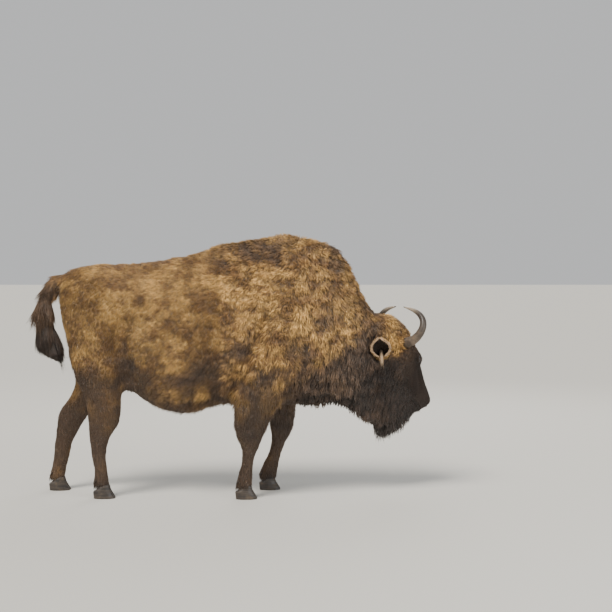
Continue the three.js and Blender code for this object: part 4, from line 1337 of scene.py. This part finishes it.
def make_collars(ground):
    """Hair that laps up the base of each horn, all round it."""
    rng = np.random.default_rng(SEEDS["collars"])
    count = int(COLLAR["count"] * COAT_SHARE)
    roots, axes, away = [], [], []
    for side in (1, -1):
        low, high = (head_place(s, u, w * side) for s, u, w in COLLAR_AXIS)
        axis = unit(high - low)
        across = unit(np.cross(axis, MUZZLE))
        other = np.cross(axis, across)
        angle = rng.uniform(0, TAU, count)
        arm = np.cos(angle)[:, None] * across + np.sin(angle)[:, None] * other
        level = rng.uniform(COLLAR["from"], COLLAR["to"], count) - COLLAR_AXIS[0][2]
        radius = COLLAR["radius"] * MM * rng.uniform(0.97, 1.1, count)
        roots.append(low + MM * level[:, None] * axis + arm * radius[:, None])
        axes.append(np.tile(axis, (count, 1)))
        away.append(arm)
    roots, axes, away = np.vstack(roots), np.vstack(axes), np.vstack(away)
    coat = coat_at(roots)
    maps = np.array([ground.nearest_map(root) for root in roots])
    tangent = unit(axes + 0.25 * coat["lie"] + 0.16 * rng.normal(size=axes.shape))
    normal = unit(level_with(away, tangent))
    sizes = (COLLAR["long"] * MM, 0.008, 0.0042, 0.003, (0.3, 1.6))
    looks = (0.5, 0.16, coat["dark"], coat["pale"])
    return loose_tufts("coat_horn_collars", rng, roots, maps, (normal, tangent), sizes, looks)


# ---------------------------------------------------------------- lashes and whiskers


def feed(tree, node, inputs):
    for key, value in inputs.items():
        if isinstance(value, bpy.types.NodeSocket):
            tree.links.new(value, node.inputs[key])
        else:
            node.inputs[key].default_value = value


def wired(tree, kind, inputs=(), **settings):
    """A new node with its settings made and its inputs linked or set."""
    node = tree.nodes.new(kind)
    for key, value in settings.items():
        setattr(node, key, value)
    feed(tree, node, dict(inputs))
    return node


def bristle_tree(material):
    """Geometry Nodes: one bent, tapering bristle on every root, along the root's own aim."""
    tree = bpy.data.node_groups.new("bristles", "GeometryNodeTree")
    sockets = {}
    for name, kind in (("Roots", "Geometry"), ("Thickness", "Float"), ("Bend", "Float")):
        made = tree.interface.new_socket(name, in_out="INPUT", socket_type="NodeSocket" + kind)
        sockets[name] = made.identifier
    tree.interface.new_socket("Bristles", in_out="OUTPUT", socket_type="NodeSocketGeometry")
    def new(kind, inputs=(), **settings):
        return wired(tree, "GeometryNode" + kind, inputs, **settings)

    start = wired(tree, "NodeGroupInput")
    end = wired(tree, "NodeGroupOutput")
    thickness, bend = start.outputs["Thickness"], start.outputs["Bend"]

    # a cone whose points move aside with the square of their height
    figures = {"Vertices": 4, "Side Segments": 4, "Radius Top": 0.02, "Radius Bottom": 1.0}
    cone = new("MeshCone", {**figures, "Depth": 1.0}, fill_type="NGON")
    split = wired(tree, "ShaderNodeSeparateXYZ", {0: new("InputPosition").outputs[0]})
    height = split.outputs["Z"]
    square = wired(tree, "ShaderNodeMath", {0: height, 1: height}, operation="MULTIPLY")
    bent = wired(tree, "ShaderNodeMath", {0: square.outputs[0], 1: bend}, operation="MULTIPLY")
    offset = wired(tree, "ShaderNodeCombineXYZ", {"X": bent.outputs[0]})
    bristle = {"Geometry": cone.outputs["Mesh"], "Offset": offset.outputs[0]}
    curve = new("SetPosition", bristle)

    # stood on each root, turned to its aim and drawn out to its length
    aim = new("InputNamedAttribute", {"Name": "aim"}, data_type="FLOAT_VECTOR")
    long = new("InputNamedAttribute", {"Name": "long"}, data_type="FLOAT")
    turn = wired(tree, "FunctionNodeAlignRotationToVector", {"Vector": aim.outputs[0]}, axis="Z")
    scale = {"X": thickness, "Y": thickness, "Z": long.outputs[0]}
    size = wired(tree, "ShaderNodeCombineXYZ", scale)
    copies = {
        "Points": start.outputs["Roots"],
        "Instance": curve.outputs[0],
        "Rotation": turn.outputs[0],
        "Scale": size.outputs[0],
    }
    real = new("RealizeInstances", {0: new("InstanceOnPoints", copies).outputs[0]})
    paint = new("SetMaterial", {"Material": material, "Geometry": real.outputs[0]})
    tree.links.new(paint.outputs[0], end.inputs[0])
    return tree, sockets


def grow_bristles(name, bristles, seeded, thickness, bend):
    """Runs the bristle tree over roots and keeps the result as a plain mesh.

    bristles: the tree and its sockets. seeded: roots, aims, lengths and places in the map.
    """
    tree, sockets = bristles
    roots, aims, lengths, maps = seeded
    seeds = mesh_object(name + "_roots", roots, [])
    layer = seeds.data.attributes.new("aim", "FLOAT_VECTOR", "POINT")
    layer.data.foreach_set("vector", unit(aims).astype(np.float32).ravel())
    attach(seeds.data, "long", lengths)
    grow = seeds.modifiers.new("bristles", "NODES")
    grow.node_group = tree
    grow[sockets["Thickness"]] = thickness
    grow[sockets["Bend"]] = bend
    mesh = mesh_from_modifiers(seeds)
    mesh.name = name
    for extra in ("aim", "long"):
        if extra in mesh.attributes:
            mesh.attributes.remove(mesh.attributes[extra])
    for old in [layer.name for layer in mesh.uv_layers]:
        mesh.uv_layers.remove(mesh.uv_layers[old])
    per = len(mesh.vertices) // len(roots)
    corner = read_rows(mesh.loops, "vertex_index", 1, np.int32)[:, 0]
    spread = np.column_stack([corner % 4, corner % per // 4]) / per - 0.25
    flat = maps[np.minimum(corner // per, len(roots) - 1)] + MAP_PATCH * spread
    lay_map(mesh, "OFBake", flat)
    return put_in_scene(name, mesh)


LASHES = {"count": 44, "from": 0.10, "to": 0.90, "long": 13, "thick": 0.32, "bend": 5.0}
WHISKERS = {"count": 90, "long": 26, "thick": 0.28, "bend": 4.0}


def make_lashes(bristles, ground):
    """Lashes along both upper lids."""
    rng = np.random.default_rng(SEEDS["lashes"])
    roots, aims, lengths, maps = [], [], [], []
    half_long, half_high, _ = LID_RINGS[-1]
    for side in (1, -1):
        gaze, length, height = eye_directions(side)
        for n in range(LASHES["count"]):
            share = LASHES["from"] + (LASHES["to"] - LASHES["from"]) * n / (LASHES["count"] - 1)
            angle = math.pi * share
            c, s = math.cos(angle), math.sin(angle)
            x, y = half_long * c, half_high * s * (1 - LID_POINT * abs(c) ** 3)
            out = math.sqrt((EYE_RADIUS + LID_THICKNESS - 0.4) ** 2 - x * x - y * y)
            root = EYE_CENTRES[side] + MM * (x * length + (y + 0.3) * height + out * gaze)
            roots.append(root)
            maps.append(ground.nearest_map(root))
            aims.append(gaze + 0.45 * height + 0.35 * c * length + 0.12 * rng.normal(size=3))
            lengths.append(LASHES["long"] * MM * rng.uniform(0.7, 1.1) * (0.6 + 0.4 * s))
    seeded = [np.array(values) for values in (roots, aims, lengths, maps)]
    return grow_bristles("eyelashes", bristles, seeded, LASHES["thick"] * MM, LASHES["bend"])


def make_whiskers(bristles, ground):
    """Stiff hairs scattered over the lips and the chin."""
    rng = np.random.default_rng(SEEDS["whiskers"])
    s, u, _ = in_head(ground.middles).T
    line = mouth_line(s)
    near = np.exp(-(((u - line - 18) / 14) ** 2)) + np.exp(-(((u - line + 26) / 16) ** 2))
    weight = near * ramp(s, 430, 470) * (ground.zone == ZONE_BODY) * (1 - ground.bare)
    roots, normal, maps = ground.scatter(weight, WHISKERS["count"], rng)
    aims = normal + 0.5 * MUZZLE + 0.25 * rng.normal(size=normal.shape)
    lengths = WHISKERS["long"] * MM * rng.uniform(0.5, 1.1, len(roots))
    seeded = (roots, aims, lengths, maps)
    return grow_bristles("whiskers", bristles, seeded, WHISKERS["thick"] * MM, WHISKERS["bend"])


# ---------------------------------------------------------------- horns, eyes, claws

SIDE_NAMES = {1: "right", -1: "left"}
HORN_PATH = [
    (8, -14, 40),
    (6, -6, 84),
    (2, 4, 146),
    (-8, 26, 200),
    (-38, 60, 240),
    (-76, 96, 254),
    (-114, 123, 240),
    (-150, 140, 196),
    (-176, 146, 128),
    (-193, 145, 44),
]
HORN_RADII = [33, 34.5, 33.5, 29.5, 25.5, 22, 19, 15.5, 10.5, 3.0]
HORN_ROWS = 110
HORN_SIDES = 40


def make_horn(side):
    """A horn on its curved path, ringed at the base, smooth and worn towards the tip."""
    path = smooth_path([head_place(s, u, w * side) for s, u, w in HORN_PATH], HORN_ROWS)
    steps = np.linspace(0, len(HORN_RADII) - 1, HORN_ROWS)
    radii = np.interp(steps, range(len(HORN_RADII)), HORN_RADII)
    tangents = unit(np.gradient(path, axis=0))
    across = unit(np.cross(tangents[0], FOREHEAD))
    rings = []
    for k in range(HORN_ROWS):
        across = unit(across - tangents[k] * np.dot(across, tangents[k]))
        other = np.cross(tangents[k], across)
        t = k / (HORN_ROWS - 1)
        wave = math.sin(TAU * 13 * t**0.9) * (1 - ramp(np.array(t), 0.28, 0.6))
        ring = []
        for n in range(HORN_SIDES):
            angle = TAU * n / HORN_SIDES
            flute = 0.35 * math.sin(9 * angle + 2 * t) + 0.25 * math.sin(17 * angle + 5 * t)
            radius = radii[k] + (0.9 * wave + flute * (1 - 0.7 * t)) * min(1, radii[k] / 20)
            ring.append(
                path[k] + MM * radius * (math.cos(angle) * across + math.sin(angle) * other)
            )
        rings.append(ring)
    points, faces = tube(rings)
    obj = mesh_object("horn_" + SIDE_NAMES[side], points, faces, smooth=True)
    rows = np.minimum(np.arange(len(points)) // HORN_SIDES, HORN_ROWS - 1)
    attach(obj.data, "along", rows / (HORN_ROWS - 1))
    # the map follows the horn: along by along, round by round
    wrap = np.zeros((len(obj.data.loops), 2))
    for polygon in obj.data.polygons:
        for k, loop in enumerate(polygon.loop_indices):
            vertex = obj.data.loops[loop].vertex_index
            round_share = (vertex % HORN_SIDES) / HORN_SIDES
            if k and polygon.vertices[0] % HORN_SIDES == HORN_SIDES - 1 and round_share == 0:
                round_share = 1.0
            if vertex >= HORN_ROWS * HORN_SIDES:
                round_share = 0.5
            row = min(vertex // HORN_SIDES, HORN_ROWS - 1)
            wrap[loop] = (0.02 + 0.3 * round_share, 0.02 + 0.94 * row / HORN_ROWS)
    lay_map(obj.data, "OFBake", wrap)
    return obj


def make_eye(side):
    """Eyeball with a clear bulge in front, an iris and the level slit of a grazing animal."""
    gaze, length, height = eye_directions(side)
    rows, columns = 40, 48
    rings = []
    for row in range(1, rows):
        polar = math.pi * (row / rows)
        bulge = 1.3 * math.exp(-((polar / 0.42) ** 2))
        ring = []
        for n in range(columns):
            angle = TAU * n / columns
            direction = (
                math.cos(polar) * gaze
                + math.sin(polar) * (math.cos(angle) * length + math.sin(angle) * height)
            )
            ring.append(EYE_CENTRES[side] + MM * (EYE_RADIUS + bulge) * direction)
        rings.append(ring)
    points, faces = tube(rings)
    obj = mesh_object("eyeball_" + SIDE_NAMES[side], points, faces, smooth=True)
    offset = (points - EYE_CENTRES[side]) / MM
    attach(obj.data, "eye_long", offset @ length)
    attach(obj.data, "eye_high", offset @ height)
    attach(obj.data, "eye_out", offset @ gaze)
    return obj


FEET = ("fr", "fl", "hr", "hl")
CLAW_NODES = [f"hoof_{foot}_{claw}" for foot in FEET for claw in "ab"]
CLAW_VOXEL = 0.0035
CLAW_SMOOTHING = 7
DEWCLAW = {"back": 62, "high": 118, "apart": 27, "long": 17, "wide": 13}


def make_claw(node):
    """A claw with a level sole, growth rings round its wall and a soft heel."""
    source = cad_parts[node].data
    mesh = remeshed(node + "_rough", points_of(source), triangles_of(source), CLAW_VOXEL)
    set_points(mesh, relax(points_of(mesh), edges_of(mesh), 0.5, CLAW_SMOOTHING))
    co = points_of(mesh)
    low, high = (np.array(c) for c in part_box(node))
    middle = (low + high) / 2
    height = (co[:, 2] - low[2]) / (high[2] - low[2])
    front = (co[:, 0] - low[0]) / (high[0] - low[0])
    # grow back what the smoothing took
    co[:, :2] = middle[:2] + (co[:, :2] - middle[:2]) * 1.035
    ring = np.sin(TAU * (height * 5.2 + 0.5 * front)) * ramp(height, 0.08, 0.25)
    arm = np.column_stack([co[:, 0] - middle[0], co[:, 1] - middle[1], np.zeros(len(co))])
    co += unit(arm) * (0.00035 * ring)[:, None]
    # the heel is lower than the toe, and the top is domed up into the hair
    far = np.linalg.norm(arm / ((high - low) / 2 + [0, 0, 1]), axis=1)
    lower = 0.34 * (1 - ramp(front, 0.05, 0.65)) * ramp(far, 0.2, 0.8)
    co[:, 2] -= (co[:, 2] - low[2]) * lower
    co[:, 2] += 0.020 * ramp(height, 0.75, 1.0) * (1 - ramp(far, 0.35, 0.95))
    co[:, 2] = np.where(co[:, 2] < 0.005, low[2], co[:, 2])
    set_points(mesh, co)
    smooth_faces(mesh)
    return put_in_scene(node.replace("hoof", "claw"), mesh)


def make_dewclaws(foot):
    """The two small claws behind a pastern."""
    boxes = [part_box(f"hoof_{foot}_{claw}") for claw in "ab"]
    low = np.minimum(*[np.array(b[0]) for b in boxes])
    high = np.maximum(*[np.array(b[1]) for b in boxes])
    shells = []
    for side in (1, -1):
        at = np.array(
            [
                (low[0] + high[0]) / 2 - DEWCLAW["back"] * MM * 0.82,
                (low[1] + high[1]) / 2 + side * DEWCLAW["apart"] * MM,
                DEWCLAW["high"] * MM,
            ]
        )
        rings = []
        for k in range(9):
            t = k / 8
            radius = DEWCLAW["wide"] * MM * math.sqrt(max(1 - t**2.2, 0.004))
            centre = at + np.array([-0.75, 0.12 * side, -0.65]) * DEWCLAW["long"] * MM * t * 1.3
            ring = []
            for n in range(14):
                angle = TAU * n / 14
                ring.append(
                    centre
                    + radius
                    * np.array([0.55 * math.cos(angle), math.sin(angle), 0.85 * math.cos(angle)])
                )
            rings.append(ring)
        shells.append(tube(rings))
    return mesh_object("dewclaws_" + foot, *joined(shells), smooth=True)


# ---------------------------------------------------------------- finishes


def linear(red, green, blue):
    """A colour from everyday 0 to 255 figures, as light."""
    values = []
    for value in (red, green, blue):
        c = value / 255
        values.append(c / 12.92 if c <= 0.04045 else ((c + 0.055) / 1.055) ** 2.4)
    return (*values, 1.0)


COLOURS = {
    "wool_mid": linear(128, 91, 52),
    "wool_pale": linear(222, 176, 104),
    "wool_cream": linear(228, 196, 160),
    "wool_dark": linear(52, 39, 31),
    "leg_brown": linear(100, 78, 60),
    "undercoat": linear(72, 50, 32),
}


class Nodes:
    """A short way to write a material's nodes."""

    def __init__(self, name):
        self.material = bpy.data.materials.new(name)
        self.material.use_nodes = True
        self.tree = self.material.node_tree
        self.tree.nodes.clear()
        self.shader = self.new("BsdfPrincipled")
        self.new("OutputMaterial", {0: self.shader.outputs[0]})

    def new(self, kind, inputs=(), **settings):
        return wired(self.tree, "ShaderNode" + kind, inputs, **settings)

    def number(self, name):
        return self.new("Attribute", attribute_name=name).outputs["Fac"]

    def place(self):
        return self.new("TexCoord").outputs["Object"]

    def math(self, operation, a, b=0.0, clamp=False):
        return self.new("Math", {0: a, 1: b}, operation=operation, use_clamp=clamp).outputs[0]

    def span(self, value, low, high, to_low=0.0, to_high=1.0):
        figures = {"From Min": low, "From Max": high, "To Min": to_low, "To Max": to_high}
        inputs = {"Value": value, **figures}
        return self.new("MapRange", inputs, interpolation_type="SMOOTHSTEP").outputs[0]

    def mix(self, share, a, b, blend="MIX"):
        node = self.new("Mix", {0: share, 6: a, 7: b}, data_type="RGBA", blend_type=blend)
        return node.outputs[2]

    def lit(self, colour, light):
        """The colour times a grey light."""
        grey = self.new("CombineColor", dict.fromkeys(range(3), light))
        return self.mix(1.0, colour, grey.outputs[0], "MULTIPLY")

    def noise(self, vector, scale, detail=3.0, roughness=0.55):
        figures = {"Scale": scale, "Detail": detail, "Roughness": roughness}
        return self.new("TexNoise", {"Vector": vector, **figures}).outputs["Fac"]

    def stretched(self, vector, scale):
        return self.new("Mapping", {"Vector": vector, "Scale": scale}).outputs[0]

    def bump(self, height, strength, distance):
        figures = {"Height": height, "Strength": strength, "Distance": distance}
        self.tree.links.new(self.new("Bump", figures).outputs[0], self.shader.inputs["Normal"])

    def finish(self, colour, roughness, **constants):
        constants = {key.replace("_", " "): value for key, value in constants.items()}
        inputs = {"Base Color": colour, "Roughness": roughness, **constants}
        feed(self.tree, self.shader, inputs)
        return self.material


def coat_colour(n):
    """The animal's markings, with painted light on the clumps' tops and painted shade in gaps,
    hollows and under the belly: the same reckoning for the skin and for every tuft.
    """
    at = n.place()
    patches = n.noise(n.stretched(at, (9.0, 9.0, 11.0)), 1.0, 5.0, 0.65)
    specks = n.noise(at, 34.0, 3.0, 0.6)
    dark = n.number("dark_hair")
    pale = n.number("pale_hair")
    pale_share = n.math("MULTIPLY", pale, n.span(patches, 0.36, 0.62, 0.2, 1.7), clamp=True)
    fleece = n.mix(pale_share, COLOURS["wool_mid"], COLOURS["wool_pale"])
    fleece = n.mix(n.span(specks, 0.50, 0.72, 0.0, 0.4), fleece, COLOURS["undercoat"])
    fleece = n.mix(n.span(pale, 0.9, 1.0), fleece, COLOURS["wool_cream"])
    brown = n.mix(n.span(dark, 0.26, 0.62), fleece, COLOURS["leg_brown"])
    whole = n.mix(n.span(dark, 0.60, 0.95), brown, COLOURS["wool_dark"])
    return whole, specks


def coat_finish():
    n = Nodes("coat_hair")
    colour, _ = coat_colour(n)
    along = n.number("along")
    shade = n.number("shade")
    strand = n.new("UVMap", uv_map="strand").outputs[0]
    hairs = n.noise(n.stretched(strand, (9.0, 0.8, 1.0)), 1.0, 3.0, 0.6)
    light = n.span(along, 0.0, 0.9, 0.42, 1.14)
    light = n.math("MULTIPLY", light, n.span(shade, 0.0, 1.0, 0.48, 1.46))
    light = n.math("MULTIPLY", light, n.span(hairs, 0.3, 0.7, 0.78, 1.2))
    n.bump(hairs, 0.5, 0.0012)
    return n.finish(n.lit(colour, light), 0.82, Sheen_Weight=0.12, Sheen_Roughness=0.5)


def skin_finish():
    n = Nodes("skin_and_shaded_undercoat")
    colour, specks = coat_colour(n)
    at = n.place()
    fibres = n.noise(n.stretched(at, (160.0, 160.0, 46.0)), 1.0, 3.0, 0.6)
    # where hair grows the skin is drawn at 0.42 to 0.80 of the coat's colour: a darker undercoat
    # with painted shade under the tufts
    shaded_undercoat = n.lit(colour, n.span(fibres, 0.3, 0.7, 0.42, 0.80))
    pebbles = n.new("TexVoronoi", {"Vector": at, "Scale": 340.0}).outputs["Distance"]
    hide = n.mix(n.span(specks, 0.35, 0.7), linear(34, 29, 28), linear(62, 52, 48))
    bare = n.number("bare")
    whole = n.mix(bare, shaded_undercoat, hide)
    grain = n.new("Mix", {0: bare, 2: fibres, 3: pebbles}, data_type="FLOAT")
    n.bump(grain.outputs[0], 0.5, 0.0009)
    rough = n.span(bare, 0.0, 1.0, 0.9, 0.42)
    return n.finish(whole, rough)


def bristle_finish():
    n = Nodes("bristle_hair")
    tint = n.noise(n.place(), 90.0, 2.0, 0.5)
    return n.finish(n.mix(n.span(tint, 0.4, 0.6), linear(22, 17, 14), linear(54, 42, 34)), 0.5)


def horn_finish():
    n = Nodes("horn_keratin")
    at = n.place()
    along = n.number("along")
    streaks = n.noise(n.stretched(at, (60.0, 60.0, 60.0)), 1.0, 4.0, 0.6)
    cloudy = n.noise(at, 18.0, 3.0, 0.55)
    base = n.mix(n.span(cloudy, 0.35, 0.65), linear(74, 62, 52), linear(112, 96, 80))
    shaft = n.mix(n.span(along, 0.30, 0.62), base, linear(58, 50, 44))
    # paler from two thirds of the way out: the horn's own worn keratin with a painted highlight on
    # it
    worn = n.mix(n.span(along, 0.66, 0.90), shaft, linear(164, 150, 132))
    tip = n.mix(n.span(along, 0.955, 1.0), worn, linear(70, 60, 52))
    fine = n.mix(n.span(streaks, 0.45, 0.7, 0.0, 0.45), tip, linear(46, 39, 34))
    n.bump(streaks, 0.35, 0.0008)
    return n.finish(fine, n.span(along, 0.1, 0.8, 0.62, 0.34))


def claw_finish():
    n = Nodes("claw_keratin")
    at = n.place()
    rings = n.noise(n.stretched(at, (8.0, 8.0, 150.0)), 1.0, 3.0, 0.5)
    dirt = n.noise(at, 26.0, 4.0, 0.6)
    wall = n.mix(n.span(rings, 0.35, 0.65), linear(38, 33, 30), linear(66, 57, 49))
    worn = n.mix(n.span(dirt, 0.5, 0.75, 0.0, 0.6), wall, linear(104, 90, 72))
    n.bump(rings, 0.4, 0.001)
    return n.finish(worn, n.span(dirt, 0.4, 0.7, 0.42, 0.8))


def eye_finish():
    n = Nodes("wet_eye")
    long, high = n.number("eye_long"), n.number("eye_high")
    out = n.number("eye_out")
    edges = []
    for offset, half in ((long, 6.2), (high, 3.0)):
        edges.append(n.math("POWER", n.math("ABSOLUTE", n.math("DIVIDE", offset, half)), 2.6))
    slit = n.math("ADD", *edges)
    ring = n.math("SQRT", n.math("ADD", *[n.math("MULTIPLY", way, way) for way in (long, high)]))
    rays = n.noise(n.place(), 700.0, 3.0, 0.6)
    iris = n.mix(n.span(rays, 0.3, 0.7), linear(38, 22, 12), linear(74, 44, 24))
    white = n.mix(n.span(rays, 0.3, 0.7), linear(40, 28, 22), linear(66, 48, 38))
    rimmed = n.mix(n.span(ring, 9.5, 11.5), iris, linear(14, 9, 7))
    ball = n.mix(n.span(ring, 12.0, 14.0), rimmed, white)
    front = n.mix(n.span(slit, 0.8, 1.1), linear(5, 4, 4), ball)
    whole = n.mix(n.span(out, -2.0, 4.0), linear(60, 44, 36), front)
    return n.finish(whole, 0.08, Specular_IOR_Level=0.3, Coat_Weight=0.35, Coat_Roughness=0.03)


# ---------------------------------------------------------------- floor, light and camera

CAMERA_AT = (506.67, -8500.0, 1600.0)  # maker's millimetres
FOCAL_PIXELS = 1275
LOOK_DOWN = math.atan2(51, FOCAL_PIXELS)  # 51 rows from the level line to the image's middle
SENSOR = 36.0


def make_camera():
    data = bpy.data.cameras.new("camera")
    data.sensor_width = SENSOR
    data.lens = FOCAL_PIXELS * SENSOR / IMAGE_SIDE
    data.clip_end = 200
    camera = put_in_scene("camera", data)
    camera.location = place(*CAMERA_AT)
    camera.rotation_euler = (math.pi / 2 - LOOK_DOWN, 0, 0)
    bpy.context.scene.camera = camera


def make_floor():
    corners = [(-60, -60, 0), (60, -60, 0), (60, 60, 0), (-60, 60, 0)]
    floor = mesh_object("floor", corners, [(0, 1, 2, 3)])
    n = Nodes("pale_floor")
    floor.data.materials.append(n.finish(linear(196, 194, 188), 0.9))


def lamp(name, kind, at, aim, **settings):
    data = bpy.data.lights.new(name, kind)
    for key, value in settings.items():
        setattr(data, key, value)
    light = put_in_scene(name, data)
    light.location = at
    light.rotation_euler = (Vector(aim) - Vector(at)).to_track_quat("-Z", "Y").to_euler()


def make_light():
    """A warm, soft sun from behind the camera's shoulder, two large lamps and a pale sky."""
    warm, cool = (1.0, 0.95, 0.87), (0.95, 0.98, 1.0)
    sun_aim = (0.42, 0.62, -1.0)
    disk = {"shape": "DISK", "size": 4.0}
    lamp("key", "SUN", (0.0, 0.0, 0.0), sun_aim, energy=4.2, angle=math.radians(24), color=warm)
    lamp("fill", "AREA", (5.0, -4.5, 2.6), (0.9, 0.0, 0.9), energy=150, color=cool, **disk)
    lamp("back", "AREA", (1.5, 5.5, 4.5), (0.0, 0.0, 1.0), energy=120, **disk)
    world = bpy.data.worlds.new("studio")
    world.use_nodes = True
    world.node_tree.nodes["Background"].inputs[0].default_value = linear(232, 233, 234)
    world.node_tree.nodes["Background"].inputs[1].default_value = 0.75
    bpy.context.scene.world = world


# ---------------------------------------------------------------- putting it together


def add_piece(piece, nodes, material):
    piece.data.materials.clear()
    piece.data.materials.append(material)
    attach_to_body(piece, "root")
    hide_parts(*nodes)


make_floor()
make_light()
make_camera()

skin, skin_zone = make_skin()
mark_skin(skin, skin_zone)
unwrap(skin)
ground = Ground(skin, skin_zone)

HAIR = coat_finish()
add_piece(skin, FLESH + ["ear_r", "ear_l"], skin_finish())
for coat, slot, nodes in make_coats(ground).values():
    add_piece(coat, nodes, HAIR)
add_piece(make_ear_coat(ground), ["ear_r", "ear_l"], HAIR)

add_piece(make_collars(ground), ["head"], HAIR)

BRISTLE = bristle_finish()
BRISTLES = bristle_tree(BRISTLE)
add_piece(make_lashes(BRISTLES, ground), ["head"], BRISTLE)
add_piece(make_whiskers(BRISTLES, ground), ["head"], BRISTLE)

HORN_LOOK = horn_finish()
EYE_LOOK = eye_finish()
for side, letter in ((1, "r"), (-1, "l")):
    add_piece(make_horn(side), ["horn_" + letter], HORN_LOOK)
    add_piece(make_eye(side), ["eye_" + letter], EYE_LOOK)

CLAW_LOOK = claw_finish()
for node in CLAW_NODES:
    add_piece(make_claw(node), [node], CLAW_LOOK)
for foot in FEET:
    add_piece(make_dewclaws(foot), [f"hoof_{foot}_a", f"hoof_{foot}_b"], CLAW_LOOK)
